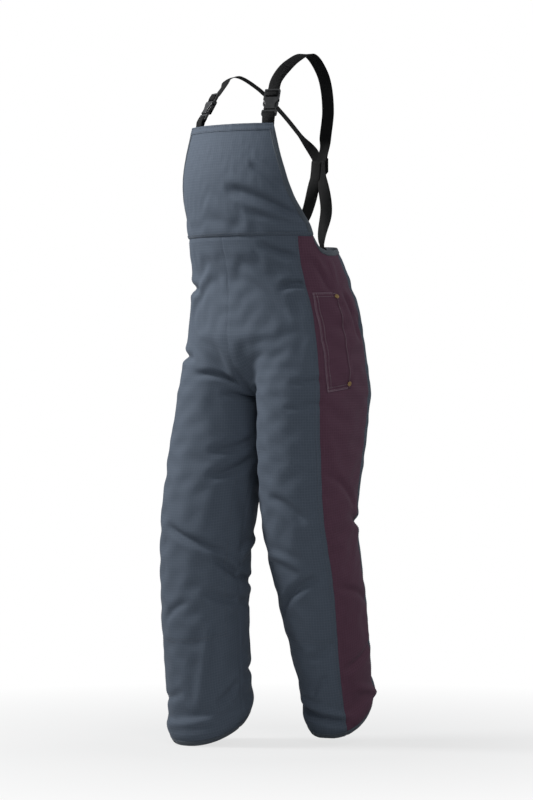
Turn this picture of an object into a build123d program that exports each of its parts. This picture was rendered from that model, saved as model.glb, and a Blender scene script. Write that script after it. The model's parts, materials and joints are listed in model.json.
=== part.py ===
from build123d import *
import os
from math import cos, radians, sin, sqrt

# Bib-and-brace chainsaw trousers, standing in a short walking stance with the right leg leading.
# Millimetres. +Z up, the front faces -Y, the wearer's left is +X. The origin is on the ground under the
# middle of the seat. Cloth panels are plain curved walls, cut where the wearer's hips and knees bend.

# ---- driving dimensions -------------------------------------------------------------------------------
FORK_Z = 724  # crotch, where the two leg tubes part
HIP_Y = 10
HIP_Z = 820  # axis the thighs swing about
KNEE_Z = 480  # axis the shins swing about
WAIST_Z = 1055  # seam between the trousers and the bib
ARMHOLE_Z = 1029  # lowest point of the top edge, under each arm
BACK_TOP_Z = 1040  # top edge at the centre of the back
BIB_TOP_Z = 1296
CLOTH = 3.0  # outer cloth with its lining
PAD = 5.0  # layered saw protection inside the front of each leg
GAP = 0.6  # clearance between neighbouring pieces
BINDING = 10  # width of the edge tape
LEFT_HEM_Z = 14  # the trailing left leg is a little raised
RIGHT_HEM_Z = 0
PAD_CLEAR_OF_HEM = 60
WEBBING_WIDTH = 25
WEBBING = 1.6
HIP_RADIUS = 165  # round cut that lets the thigh swing inside the waist panels
KNEE_RADIUS = 132
POCKET_TOP_Z = 946
POCKET_BASE_Z = FORK_Z + 3

OUT = 400  # longer than any half width of the garment, for cutting solids
LEFT = 1
RIGHT = -1
SIDE_NAME = {LEFT: "left", RIGHT: "right"}

# Body stations: height, half width, half depth, forward (-) or backward (+) set of the centre.
TRUNK = [
    (FORK_Z, 200, 152, 8),
    (HIP_Z + 30, 200, 153, HIP_Y),
    (960, 187, 143, -8),
    (WAIST_Z, 166, 128, -35),
    (1170, 172, 138, -42),
    (BIB_TOP_Z, 165, 125, -32),
]
WAIST_STATIONS = TRUNK[:4]
BIB_STATIONS = TRUNK[3:]

# Leg stations: height, half width, half depth, set of the centre. The trailing left hem hangs flatter.
LEG = {
    LEFT: [
        (LEFT_HEM_Z, 61, 76, 112.5),
        (150, 74, 83, 80),
        (300, 89, 92, 42),
        (KNEE_Z, 97, 100, -2),
        (620, 99, 122, -4),
        (FORK_Z, 98, 148, 4),
    ],
    RIGHT: [
        (RIGHT_HEM_Z, 82, 82, -80),
        (150, 88, 88, -88),
        (300, 91, 91, -97),
        (KNEE_Z, 97, 100, -84),
        (620, 99, 122, -42),
        (FORK_Z, 98, 148, -2),
    ],
}
LEG_X = 101  # leg centre from the middle plane


def leg_stations(side):
    """(height, centre x, centre y, half width, half depth) up one leg, from its hem to the fork."""
    return [(height, side * LEG_X, centre_y, wide, deep) for height, wide, deep, centre_y in LEG[side]]


def trunk_stations(levels):
    """The same five values for a stretch of the trunk, whose centre stays on the middle plane."""
    return [(height, 0, centre_y, wide, deep) for height, wide, deep, centre_y in levels]


def wall(stations, outer_inset, inner_inset):
    """Closed loft through ellipses, hollow, between two insets from the outer surface."""
    with BuildPart() as shell:
        for height, x, y, wide, deep in stations:
            with BuildSketch(Plane(origin=(x, y, height))):
                Ellipse(wide - outer_inset, deep - outer_inset)
        loft()
        for height, x, y, wide, deep in stations:
            with BuildSketch(Plane(origin=(x, y, height))):
                Ellipse(wide - inner_inset, deep - inner_inset)
        loft(mode=Mode.SUBTRACT)
    return shell.part


def at_height(stations, z):
    """(centre y, half width, half depth) at a height between two stations."""
    for low, high in zip(stations, stations[1:]):
        if low[0] <= z <= high[0]:
            share = (z - low[0]) / (high[0] - low[0])
            return tuple(a + share * (b - a) for a, b in zip(low[2:], high[2:]))
    return stations[-1][2:]


def prism(points, x_from, x_to):
    """Solid between two X positions whose outline is given as (y, z) points."""
    with BuildPart() as block:
        with BuildSketch(Plane.YZ.offset(x_from)):
            with BuildLine():
                Polyline(*points, close=True)
            make_face()
        extrude(amount=x_to - x_from)
    return block.part


def slab(z_from, z_to):
    """Horizontal slice of space."""
    with BuildPart() as block:
        with BuildSketch(Plane.XY.offset(z_from)):
            Rectangle(2 * OUT, 2 * OUT)
        extrude(amount=z_to - z_from)
    return block.part


def pivot_zone(y, z, radius, lowest):
    """Everything below a sideways pivot axis, with the round of that radius about it."""
    with BuildPart() as zone:
        with BuildSketch(Plane.YZ.offset(-OUT)):
            with Locations((y, z)):
                Circle(radius)
            with Locations((y, (z + lowest) / 2)):
                Rectangle(2 * OUT, z - lowest)
        extrude(amount=2 * OUT)
    return zone.part


def cut_piece(body, keep=(), remove=()):
    """A piece of a wall: the part of it inside every solid in keep and outside every one in remove."""
    with BuildPart() as piece:
        add(body)
        for solid in keep:
            add(solid, mode=Mode.INTERSECT)
        for solid in remove:
            add(solid, mode=Mode.SUBTRACT)
    return piece.part


os.makedirs("parts", exist_ok=True)


def save(name, part):
    """Labels a finished piece and writes its STEP file."""
    part.label = name
    export_step(part, f"parts/{name}.step")


# ---- where the panels meet ----------------------------------------------------------------------------
# The side panel is a strip down the outside of the leg. Its two seams are lines in the YZ plane, set from
# the leg's or trunk's centre by these distances.
SIDE_FRONT_TRUNK = 74
SIDE_BACK_TRUNK = 46
SIDE_FRONT_LEG = 54
SIDE_BACK_LEG = 54


def seam_line(stations, reach_at_top, reach_at_foot):
    """(y, z) points of a seam that keeps its distance from the centre line of the stations."""
    low, high = stations[0][0], stations[-1][0]
    line = []
    for height, _, centre_y, _, _ in stations:
        share = (height - low) / (high - low)
        line.append((centre_y + reach_at_foot + share * (reach_at_top - reach_at_foot), height))
    line[0] = (line[0][0], line[0][1] - 10)
    line[-1] = (line[-1][0], line[-1][1] + 10)
    return line


def panel_regions(stations, side, split_x, front_reach, back_reach):
    """Front, side and back regions of one half of the garment. split_x is the outer half's inner edge."""
    front_line = seam_line(stations, -front_reach[0], -front_reach[1])
    back_line = seam_line(stations, back_reach[0], back_reach[1])
    inseam = seam_line(stations, 0, 0)
    outer = sorted((split_x, side * OUT))
    inner = sorted((split_x, side * 0.5))

    def beside(line, direction, shift, x_range):
        moved = [(y + shift, z) for y, z in line]
        far = [(direction * OUT, moved[-1][1]), (direction * OUT, moved[0][1])]
        return prism(moved + far, *x_range)

    half_gap = GAP / 2
    strip = [(y + half_gap, z) for y, z in front_line] + [(y - half_gap, z) for y, z in back_line[::-1]]
    regions = {
        "front": [beside(front_line, -1, -half_gap, outer)],
        "side": [prism(strip, *outer)],
        "back": [beside(back_line, 1, half_gap, outer)],
    }
    if inner[1] - inner[0] > 1:
        regions["front"].append(beside(inseam, -1, -half_gap, inner))
        regions["back"].append(beside(inseam, 1, half_gap, inner))
    return regions


def joined(solids):
    """One solid from regions that share a face."""
    with BuildPart() as whole:
        for solid in solids:
            add(solid)
    return whole.part


# ---- top edge and bib outline, as lines in the YZ plane ------------------------------------------------
# The bib narrows upward from the armholes. Both of its edges are one line seen from the side, because the
# chest surface is round: everything in front of the line is bib.
BIB_EDGE = [(-49, WAIST_Z), (-65, 1096), (-98, 1138), (-123, 1200), (-120, BIB_TOP_Z)]
ARMHOLE = [(-49, WAIST_Z), (-22, 1038), (6, ARMHOLE_Z), (45, 1034), (110, BACK_TOP_Z)]


def edge_band(points, inward, lowest, highest):
    """Region on the cloth side of an edge line: in front of the bib edge or under the armhole edge.

    inward moves the line into the cloth, so that two bands differ by a strip of binding.
    """
    if lowest is None:
        moved = [(y - inward, z) for y, z in points]
        far = [(-OUT, highest), (-OUT, moved[0][1])]
    else:
        moved = [(y, z - inward) for y, z in points]
        far = [(OUT, moved[-1][1]), (OUT, lowest), (-OUT, lowest), (-OUT, WAIST_Z - inward)]
    with BuildPart() as region:
        with BuildSketch(Plane.YZ.offset(-OUT)):
            with BuildLine():
                Spline(*moved)
                Polyline(moved[-1], *far, moved[0])
            make_face()
        extrude(amount=2 * OUT)
    return region.part


# ---- trousers: waist, seat, thigh and shin panels -----------------------------------------------------
TOP_GAP = GAP + BINDING
waist_levels = trunk_stations(WAIST_STATIONS)
outer_trunk = wall(waist_levels, 0, CLOTH)
pad_trunk = wall(waist_levels, CLOTH + GAP, CLOTH + GAP + PAD)
seat_zone = pivot_zone(HIP_Y, HIP_Z, HIP_RADIUS - GAP, FORK_Z + GAP)
seat_hollow = pivot_zone(HIP_Y, HIP_Z, HIP_RADIUS + GAP, FORK_Z - 10)
under_top_edge = edge_band(ARMHOLE, TOP_GAP, FORK_Z - 20, None)
under_seam = prism([(-OUT, FORK_Z - 20), (ARMHOLE[0][0] - GAP, FORK_Z - 20),
                    (ARMHOLE[0][0] - GAP, WAIST_Z - GAP), (-OUT, WAIST_Z - GAP)], -OUT, OUT)
waist_region = joined([under_top_edge, under_seam])

# Side pocket and its rivets. The pocket lies on the side panel, open along its back edge.
POCKET_OUTLINE = [(-59, POCKET_TOP_Z), (-3, POCKET_TOP_Z), (28, POCKET_BASE_Z), (-42, POCKET_BASE_Z)]
POCKET_STANDS_OFF = 2.2
POCKET_CLOTH = 2.0
RIVET_PLACES = [(-5, POCKET_TOP_Z - 10), (20, POCKET_BASE_Z + 28)]
RIVET_HEAD_RADIUS = 4.5
RIVET_SHANK_RADIUS = 1.4
RIVET_HOLE_RADIUS = 1.6
RIVET_HEAD = 1.6
RIVET_BURR = 1.0
RIVET_PLAY = 0.2
pocket_levels = [(FORK_Z - 30, 0, TRUNK[0][3], *TRUNK[0][1:3])] + trunk_stations(WAIST_STATIONS)
pocket_wall = wall(pocket_levels, -POCKET_STANDS_OFF - POCKET_CLOTH, -POCKET_STANDS_OFF)


def side_rods(side, radius, x_from, x_to):
    """A rod across the cloth at each rivet, between two distances from the middle plane."""
    with BuildPart() as rods:
        with BuildSketch(Plane.YZ.offset(side * x_from)):
            with Locations(*RIVET_PLACES):
                Circle(radius)
        extrude(amount=side * (x_to - x_from))
    return rods.part


def rivet_run(side, pocket, cloth, y, z):
    """Distances from the middle plane of the cloth's inside and the pocket's outside, under a rivet head."""
    with BuildPart() as rod:
        with BuildSketch(Plane.YZ.offset(side * 100)):
            with Locations((y, z)):
                Circle(RIVET_HEAD_RADIUS)
        extrude(amount=side * OUT)
    inside = (cloth & rod.part).bounding_box()
    outside = (pocket & rod.part).bounding_box()
    if side == LEFT:
        return inside.min.X, outside.max.X
    return -inside.max.X, -outside.min.X


def rivets(side, pocket, cloth):
    """Two rivets: a domed head outside, a shank through both cloths and a flat burr inside."""
    with BuildPart() as pair:
        for y, z in RIVET_PLACES:
            burr_x, head_x = rivet_run(side, pocket, cloth, y, z)
            burr_x -= RIVET_PLAY
            head_x += RIVET_PLAY
            with BuildSketch(Plane.YZ.offset(side * burr_x)):
                with Locations((y, z)):
                    Circle(RIVET_SHANK_RADIUS)
            extrude(amount=side * (head_x - burr_x))
            with BuildSketch(Plane.YZ.offset(side * (burr_x - RIVET_BURR))):
                with Locations((y, z)):
                    Circle(RIVET_HEAD_RADIUS - 0.5)
            extrude(amount=side * RIVET_BURR)
            with BuildSketch(Plane.YZ.offset(side * head_x)):
                with Locations((y, z)):
                    Circle(RIVET_HEAD_RADIUS)
            extrude(amount=side * RIVET_HEAD, taper=30)
    return pair.part


for side in (LEFT, RIGHT):
    name = SIDE_NAME[side]
    hem_z = LEFT_HEM_Z if side == LEFT else RIGHT_HEM_Z
    levels = leg_stations(side)
    knee_y = at_height(levels, KNEE_Z)[0]
    tube = wall(levels, 0, CLOTH)
    pad_tube = wall(levels, CLOTH + GAP, CLOTH + GAP + PAD)
    shin_zone = pivot_zone(knee_y, KNEE_Z, KNEE_RADIUS - GAP, hem_z + BINDING + GAP)
    shin_hollow = pivot_zone(knee_y, KNEE_Z, KNEE_RADIUS + GAP, hem_z - 10)
    thigh_slab = slab(KNEE_Z, FORK_Z - GAP)
    rivet_holes = side_rods(side, RIVET_HOLE_RADIUS, 100, OUT)

    trunk_regions = panel_regions(
        waist_levels, side, side * 0.5, (SIDE_FRONT_TRUNK,) * 2, (SIDE_BACK_TRUNK,) * 2
    )
    leg_regions = panel_regions(
        levels, side, side * LEG_X, (SIDE_FRONT_TRUNK, SIDE_FRONT_LEG), (SIDE_BACK_TRUNK, SIDE_BACK_LEG)
    )
    for panel in ("front", "side", "back"):
        trunk_region = joined(trunk_regions[panel])
        leg_region = joined(leg_regions[panel])
        save(f"{name}_{panel}_waist", cut_piece(outer_trunk, [trunk_region, waist_region], [seat_hollow]))
        seat = cut_piece(outer_trunk, [trunk_region, seat_zone], [rivet_holes])
        thigh = cut_piece(tube, [leg_region, thigh_slab], [shin_hollow, rivet_holes])
        save(f"{name}_{panel}_thigh", Compound(children=[seat, thigh]))
        save(f"{name}_{panel}_shin", cut_piece(tube, [leg_region, shin_zone]))

    front_leg = joined(leg_regions["front"])
    front_trunk = joined(trunk_regions["front"])
    pad_floor = slab(hem_z + PAD_CLEAR_OF_HEM, FORK_Z)
    pad_seat = cut_piece(pad_trunk, [front_trunk, seat_zone])
    pad_thigh = cut_piece(pad_tube, [front_leg, thigh_slab], [shin_hollow])
    save(f"{name}_saw_pad_thigh", Compound(children=[pad_seat, pad_thigh]))
    save(f"{name}_saw_pad_shin", cut_piece(pad_tube, [front_leg, shin_zone, pad_floor]))

    hem_ring = wall(levels, -1, CLOTH + 1)
    save(f"{name}_hem_binding", cut_piece(hem_ring, [slab(hem_z, hem_z + BINDING)]))

    pocket_region = prism(POCKET_OUTLINE, *sorted((side * 100, side * OUT)))
    pocket = cut_piece(pocket_wall, [pocket_region], [rivet_holes])
    save(f"{name}_side_pocket", pocket)
    save(f"{name}_pocket_rivets", rivets(side, pocket, outer_trunk))

# Binding round the top edge: one tape from the bib seam under the arm to the centre of the back.
binding_wall = wall(waist_levels, -1, CLOTH + 1)
binding_band = edge_band(ARMHOLE, 0, FORK_Z - 20, None)
for side in (LEFT, RIGHT):
    half = prism([(ARMHOLE[0][0], 900), (OUT, 900), (OUT, 1100), (ARMHOLE[0][0], 1100)],
                 *sorted((side * GAP / 2, side * OUT)))
    under_tape = edge_band(ARMHOLE, BINDING, FORK_Z - 20, None)
    save(f"{SIDE_NAME[side]}_armhole_binding", cut_piece(binding_wall, [binding_band, half], [under_tape]))

# Elastic in a casing inside the top of the back.
ELASTIC_INSET = CLOTH + 2.4
elastic_wall = wall(waist_levels, ELASTIC_INSET, ELASTIC_INSET + 1.5)
elastic_band = prism([(20, 992), (OUT, 992), (OUT, 1017), (20, 1017)], -OUT, OUT)
save("back_elastic", cut_piece(elastic_wall, [elastic_band]))

# ---- bib ----------------------------------------------------------------------------------------------
bib_levels = trunk_stations(BIB_STATIONS)
above_seam = slab(WAIST_Z + GAP, BIB_TOP_Z)
front_half = prism([(-OUT, 1000), (-30, 1000), (-30, 1400), (-OUT, 1400)], -OUT, OUT)
in_binding = edge_band(BIB_EDGE, BINDING + GAP, None, BIB_TOP_Z)
under_binding = edge_band(BIB_EDGE, BINDING, None, BIB_TOP_Z)
bib_region = edge_band(BIB_EDGE, 0, None, BIB_TOP_Z)
FACING = 1.0
FACING_BASE_Z = 1160
save("bib_panel", cut_piece(wall(bib_levels, 0, CLOTH), [in_binding, above_seam]))
facing_wall = wall(bib_levels, CLOTH + GAP, CLOTH + GAP + FACING)
save("bib_facing", cut_piece(facing_wall, [in_binding, slab(FACING_BASE_Z, BIB_TOP_Z - 2)]))
bib_tape_wall = wall(bib_levels, -1, CLOTH + 1)
bib_tape = cut_piece(bib_tape_wall, [bib_region, above_seam], [under_binding])
for side in (LEFT, RIGHT):
    half = prism([(-OUT, 1000), (-30, 1000), (-30, 1400), (-OUT, 1400)], *sorted((0, side * OUT)))
    save(f"{SIDE_NAME[side]}_bib_binding", cut_piece(bib_tape, [half]))

# ---- side-release buckles -----------------------------------------------------------------------------
# Buckle axes: u across, v up along the strap, n out of its face. The foot of each buckle stands just inside
# the top edge of the bib, turned outward with the chest and leaning back towards the shoulder.
BUCKLE_X = 97
BUCKLE_TURN = 24
BUCKLE_LEAN = 30
BUCKLE_INSET = 12  # from the bib's outer surface to the middle of the buckle's foot
BUCKLE_HALF_WIDTH = 16.5
PLUG_HALF_THICK = 2.5
SOCKET_HALF_THICK = 4.8
CAVITY_HALF_THICK = 2.8
PLUG_BASE_V = 6
PLUG_TOP_V = 20
SOCKET_MOUTH_V = 21
SOCKET_BODY_V = 50
SOCKET_TOP_V = 70
ARM_ROOT_U = 11.5
ARM_ROOT_V = 21.6
ARM_TIP_V = 44
ARM_ROOT_RADIUS = 1.5


def buckle_plane(side):
    """Plane of the buckle's middle, with u as its X, v as its Y and n as its normal."""
    turn = radians(side * BUCKLE_TURN)
    lean = radians(BUCKLE_LEAN)
    centre_y, wide, deep = TRUNK[-1][3], TRUNK[-1][1], TRUNK[-1][2]
    surface_y = centre_y - deep * sqrt(1 - (BUCKLE_X / wide) ** 2)
    foot = Vector(side * BUCKLE_X - BUCKLE_INSET * sin(turn), surface_y + BUCKLE_INSET * cos(turn), BIB_TOP_Z)
    across = Vector(cos(turn), sin(turn), 0)
    normal = Vector(sin(turn) * cos(lean), -cos(turn) * cos(lean), sin(lean))
    return Plane(origin=foot, x_dir=across, z_dir=normal)


def profile_plane(face):
    """Plane through the buckle's middle, seen from its side: n is its X and v its Y."""
    return Plane(origin=face.origin, x_dir=face.z_dir, z_dir=-face.x_dir)


def soften(piece, face, radius):
    """Round the rims of the outermost flat faces of a moulding, on both sides of the buckle's middle."""
    layers = piece.edges().group_by(Axis(face.origin, face.z_dir))
    return fillet(layers[0] + layers[-1], radius)


def plug(face):
    """Plug foot: a bar and slot for the sewn webbing, shoulders and the guide tongue."""
    with BuildPart() as piece:
        with BuildSketch(face):
            with Locations((0, (PLUG_BASE_V + PLUG_TOP_V) / 2)):
                RectangleRounded(2 * BUCKLE_HALF_WIDTH, PLUG_TOP_V - PLUG_BASE_V, 3)
            with Locations((0, 12.5)):
                Rectangle(WEBBING_WIDTH + 1.5, 4.5, mode=Mode.SUBTRACT)
            for hand in (LEFT, RIGHT):
                with Locations((hand * ARM_ROOT_U, ARM_ROOT_V)):
                    Circle(ARM_ROOT_RADIUS + 0.4, mode=Mode.SUBTRACT)
        extrude(amount=PLUG_HALF_THICK, both=True)
        with BuildSketch(face):
            with Locations((0, 30)):
                Rectangle(6, 22)
        extrude(amount=1.5, both=True)
        soften(piece, face, 0.8)
    return piece.part


def arm(face, hand):
    """Springy latch arm: a round root, a slim stem and a bulging thumb pad with a hooked tip."""
    root = (hand * ARM_ROOT_U, ARM_ROOT_V)
    with BuildPart() as piece:
        with BuildSketch(face):
            with Locations(root):
                Circle(ARM_ROOT_RADIUS)
            with BuildLine():
                Spline(
                    (hand * 10.2, ARM_ROOT_V),
                    (hand * 10.6, 28),
                    (hand * 12.2, 36),
                    (hand * 11.2, ARM_TIP_V),
                )
                Line((hand * 11.2, ARM_TIP_V), (hand * 13.6, ARM_TIP_V))
                Spline(
                    (hand * 13.6, ARM_TIP_V),
                    (hand * 16.2, 38),
                    (hand * 15.6, 31),
                    (hand * 13.2, 26),
                    (hand * 12.8, ARM_ROOT_V),
                )
                Line((hand * 12.8, ARM_ROOT_V), (hand * 10.2, ARM_ROOT_V))
            make_face()
        extrude(amount=PLUG_HALF_THICK, both=True)
        soften(piece, face, 0.6)
    return piece.part


def socket(face):
    """Socket: waisted face plates over an open-sided cavity, then a ladder of two webbing slots."""
    with BuildPart() as piece:
        with BuildSketch(face) as outline:
            with BuildLine():
                Line((-14, SOCKET_MOUTH_V), (14, SOCKET_MOUTH_V))
                Spline((14, SOCKET_MOUTH_V), (10.5, 29), (12, 36), (BUCKLE_HALF_WIDTH, 43))
                Line((BUCKLE_HALF_WIDTH, 43), (BUCKLE_HALF_WIDTH, SOCKET_BODY_V))
                Line((BUCKLE_HALF_WIDTH, SOCKET_BODY_V), (-BUCKLE_HALF_WIDTH, SOCKET_BODY_V))
                Line((-BUCKLE_HALF_WIDTH, SOCKET_BODY_V), (-BUCKLE_HALF_WIDTH, 43))
                Spline((-BUCKLE_HALF_WIDTH, 43), (-12, 36), (-10.5, 29), (-14, SOCKET_MOUTH_V))
            make_face()
            fillet(outline.vertices(), 1.2)
        extrude(amount=SOCKET_HALF_THICK, both=True)
        soften(piece, face, 1.2)
        with BuildSketch(face):
            with Locations((0, (SOCKET_MOUTH_V + 46) / 2 - 5)):
                Rectangle(2 * BUCKLE_HALF_WIDTH + 10, 46 - SOCKET_MOUTH_V + 10)
        extrude(amount=CAVITY_HALF_THICK, both=True, mode=Mode.SUBTRACT)
        with BuildSketch(face):
            with Locations((0, (SOCKET_BODY_V + SOCKET_TOP_V) / 2)):
                RectangleRounded(2 * BUCKLE_HALF_WIDTH, SOCKET_TOP_V - SOCKET_BODY_V + 2, 2)
            with Locations((0, 54), (0, 64.75)):
                Rectangle(WEBBING_WIDTH + 1.5, 5.2, mode=Mode.SUBTRACT)
        extrude(amount=PLUG_HALF_THICK, both=True)
    return piece.part


def ribbon(face, path):
    """Flat webbing whose edge follows (n, v) points of the buckle, one webbing wide."""
    with BuildPart() as piece:
        with BuildSketch(profile_plane(face)):
            with BuildLine():
                Polyline(*path)
                offset(amount=WEBBING / 2, side=Side.BOTH)
            make_face()
        extrude(amount=WEBBING_WIDTH / 2, both=True)
    return piece.part


ANCHOR_PATH = [(-9.4, -30), (3.6, 0), (3.6, 12.4), (-3.6, 12.4), (-3.6, 1), (-12.2, -30)]
LADDER_PATH = [(-6.6, 24), (-6.4, 53.4), (3.8, 54.8), (3.8, 64.2), (-3.6, 65.6), (-5.0, 72), (-8, 95)]

# ---- shoulder straps ----------------------------------------------------------------------------------
# Each strap leaves the buckle, rises over the shoulder and comes down to the cross on the upper back. The
# webbing is cut at the shoulder, where the loop from bib to back is opened.
SHOULDER = {
    LEFT: [(77, -38, 1424), (79, 12, 1445), (73, 66, 1415), (60, 104, 1330), (34, 126, 1262), (4, 143, 1203)],
    RIGHT: [(-80, -46, 1403), (-83, -12, 1413), (-72, 40, 1390), (-46, 86, 1330), (-22, 120, 1268),
            (-4, 151, 1203)],
}
CHEST_CENTRE = Vector(0, 10, 1290)
WAIST_CENTRE = Vector(0, -30, 1100)
SECTION_COUNT = 9
SHOULDER_CUT = 6  # opening in the webbing at the top of the shoulder


def outward_of_chest(point):
    """Away from the sideways axis of the chest, so a strap lies flat over the shoulder."""
    return Vector(0, point.Y - CHEST_CENTRE.Y, point.Z - CHEST_CENTRE.Z)


def outward_of_waist(point):
    """Away from the upright axis of the waist, so a strap lies flat against the back."""
    return Vector(point.X - WAIST_CENTRE.X, point.Y - WAIST_CENTRE.Y, 0)


def strap(path, start, end, outward_at):
    """Webbing lofted through rectangles along part of a path, its width across the body's surface."""
    with BuildPart() as piece:
        for step in range(SECTION_COUNT):
            share = start + (end - start) * step / (SECTION_COUNT - 1)
            point = path @ share
            along = path % share
            across = along.cross(outward_at(point)).normalized()
            with BuildSketch(Plane(origin=point, x_dir=across, z_dir=along)):
                Rectangle(WEBBING_WIDTH, WEBBING)
        loft(ruled=True)
    return piece.part


BACK_ANCHOR = {LEFT: (66, 68, 1022), RIGHT: (-60, 70, 1022)}
CROSS_FOOT = {LEFT: (5, 141, 1196), RIGHT: (-5, 137, 1196)}
for side in (LEFT, RIGHT):
    name = SIDE_NAME[side]
    face = buckle_plane(side)
    save(f"{name}_strap_anchor", ribbon(face, ANCHOR_PATH))
    save(f"{name}_buckle_plug", plug(face))
    save(f"{name}_latch_arm_outer", arm(face, side))
    save(f"{name}_latch_arm_inner", arm(face, -side))
    save(f"{name}_buckle_socket", socket(face))

    leave = face.from_local_coords(Vector(0, LADDER_PATH[-1][1], LADDER_PATH[-1][0]))
    with BuildLine() as over_shoulder:
        Spline(leave, *SHOULDER[side], tangents=(face.y_dir, Vector(-side * 0.4, 0.3, -1)))
    path = over_shoulder.edge()
    shares = [i / 200 for i in range(201)]
    top_share = max(shares, key=lambda share: (path @ share).Z)
    half_cut = SHOULDER_CUT / 2 / path.length
    front_run = strap(path, 0, top_share - half_cut, outward_of_chest)
    with BuildPart() as strap_front:
        add(ribbon(face, LADDER_PATH))
        add(front_run)
    save(f"{name}_strap_front", strap_front.part)
    save(f"{name}_strap_back", strap(path, top_share + half_cut, 1, outward_of_chest))

    with BuildLine() as down_the_back:
        Spline(CROSS_FOOT[side], BACK_ANCHOR[side], tangents=(Vector(0, 0, -1), Vector(side * 0.25, -0.35, -1)))
    save(f"{name}_back_strap", strap(down_the_back.edge(), 0, 1, outward_of_waist))

# Patch that the four ends are sewn to.
with BuildPart() as cross_patch:
    with BuildSketch(Plane(origin=(0, 155, 1198), x_dir=(1, 0, 0), z_dir=(0, 1, 0))):
        RectangleRounded(44, 50, 8)
    extrude(amount=2)
save("strap_cross_patch", cross_patch.part)
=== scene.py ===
import json
import math
from typing import NamedTuple

import bmesh
import bpy
import numpy as np
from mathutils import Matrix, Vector
from mathutils.bvhtree import BVHTree


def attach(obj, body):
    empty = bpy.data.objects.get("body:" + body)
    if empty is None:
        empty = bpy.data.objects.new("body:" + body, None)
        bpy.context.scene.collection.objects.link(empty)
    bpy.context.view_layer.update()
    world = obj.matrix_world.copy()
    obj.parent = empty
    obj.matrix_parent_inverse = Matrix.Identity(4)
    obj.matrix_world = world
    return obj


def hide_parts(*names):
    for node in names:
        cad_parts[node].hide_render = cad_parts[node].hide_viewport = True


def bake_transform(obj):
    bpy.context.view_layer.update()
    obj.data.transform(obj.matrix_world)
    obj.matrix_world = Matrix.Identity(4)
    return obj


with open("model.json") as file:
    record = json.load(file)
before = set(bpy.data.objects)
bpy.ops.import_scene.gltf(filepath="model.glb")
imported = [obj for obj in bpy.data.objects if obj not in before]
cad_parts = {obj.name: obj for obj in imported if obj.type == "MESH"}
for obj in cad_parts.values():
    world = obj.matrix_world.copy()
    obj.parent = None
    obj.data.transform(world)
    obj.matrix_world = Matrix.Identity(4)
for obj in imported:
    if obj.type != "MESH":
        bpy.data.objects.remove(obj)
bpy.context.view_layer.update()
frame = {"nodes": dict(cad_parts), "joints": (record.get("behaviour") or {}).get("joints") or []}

# Bib-and-brace chainsaw overalls, filled out as if worn, in a short walking stance. Lengths are millimetres
# until a mesh is made; +Z is up, the front faces -Y and the wearer's left side is +X.

MM = 0.001
LEFT, RIGHT, BIB = 1, -1, "bib"
SIDES = (LEFT, RIGHT)
NAME = {LEFT: "left", RIGHT: "right"}
FACING = {LEFT: -1, RIGHT: 1, BIB: 1}  # turns the normals of a cloth grid outward
ALL = slice(None)

# ---- shape of the filled garment ----
FORK_Z = 724.0  # crotch
CROTCH_Y = 1.0
CROTCH_TOP_Z = 862.0  # above this the two halves meet on the middle plane
ARMHOLE_Z = 1036.0  # middle height of the armhole
WAIST_Z = 1055.0
BIB_TOP_Z = 1285.0
HEM_Z = {LEFT: 14.0, RIGHT: 0.0}
HEM_RISE = {LEFT: 100.0, RIGHT: 84.0}  # how far the back of each hem is above its front
HEM_LEAN = {LEFT: -0.25, RIGHT: 0.0}  # and how far that turns outward
HEM_CURVE = 1.2
LEG_X = 101.0
CLOTH = 2.2

# Stations of the trunk and the legs: height, half width, half depth, centre y.
TRUNK = np.array([
    (724, 199, 151, 8), (850, 199, 153, 10), (907, 191, 148, 8), (960, 180, 137, -3), (1055, 165, 128, -35),
    (1170, 171, 137, -42), (1296, 164, 124, -32),
], float)
LEG = {
    LEFT: np.array([
        (0, 62, 74, 110), (60, 64, 78, 101), (150, 73, 83, 80), (300, 88, 92, 42),
        (480, 96, 102, 0), (620, 98, 127, 7), (724, 98, 139, 14), (862, 98, 148, 14),
    ], float),
    RIGHT: np.array([
        (0, 80, 82, -80), (60, 84, 85, -82), (150, 87, 88, -88), (300, 90, 91, -97),
        (480, 96, 100, -84), (620, 98, 121, -42), (724, 98, 142, -2), (862, 98, 148, 12),
    ], float),
}
# Seams of the side panel: height, distance in y of the front and the back seam from the centre.
SIDE_SEAMS = np.array([
    (0, 44, 50), (150, 50, 54), (480, 54, 54), (560, 63, 58), (640, 73, 68), (724, 79, 78), (823, 77, 66),
    (900, 77, 52), (960, 74, 46), (1055, 58, 46),
], float)
# Edge of the bib: height, y. Armhole and top of the back: y, height.
BIB_EDGE = np.array([
    (1055, -61), (1075, -69), (1100, -86), (1130, -105), (1160, -117), (1200, -125), (1296, -127),
], float)
ARMHOLE = np.array([
    (-61, 1055), (-53, 1041), (-46, 1031), (-30, 1025), (-5, 1026), (15, 1029), (45, 1034), (110, 1041),
], float)

# The grid of each half: rows run down, columns run from the centre front or the inseam round the outside.
FRONT_COLUMNS = 30
SIDE_COLUMNS = 16
BACK_COLUMNS = 30
COLUMNS = FRONT_COLUMNS + SIDE_COLUMNS + BACK_COLUMNS
BIB_COLUMN = FRONT_COLUMNS + 5  # where the bib's edge meets the waist seam
WAIST_ROWS = 26
CROTCH_ROWS = 24
LEG_ROWS = 96
FORK_ROW = WAIST_ROWS + CROTCH_ROWS
ROWS = FORK_ROW + LEG_ROWS
BIB_ROWS = 32
CROTCH_SPREAD = 14.0  # columns over which the cloth turns from the crotch seam to the leg


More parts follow.
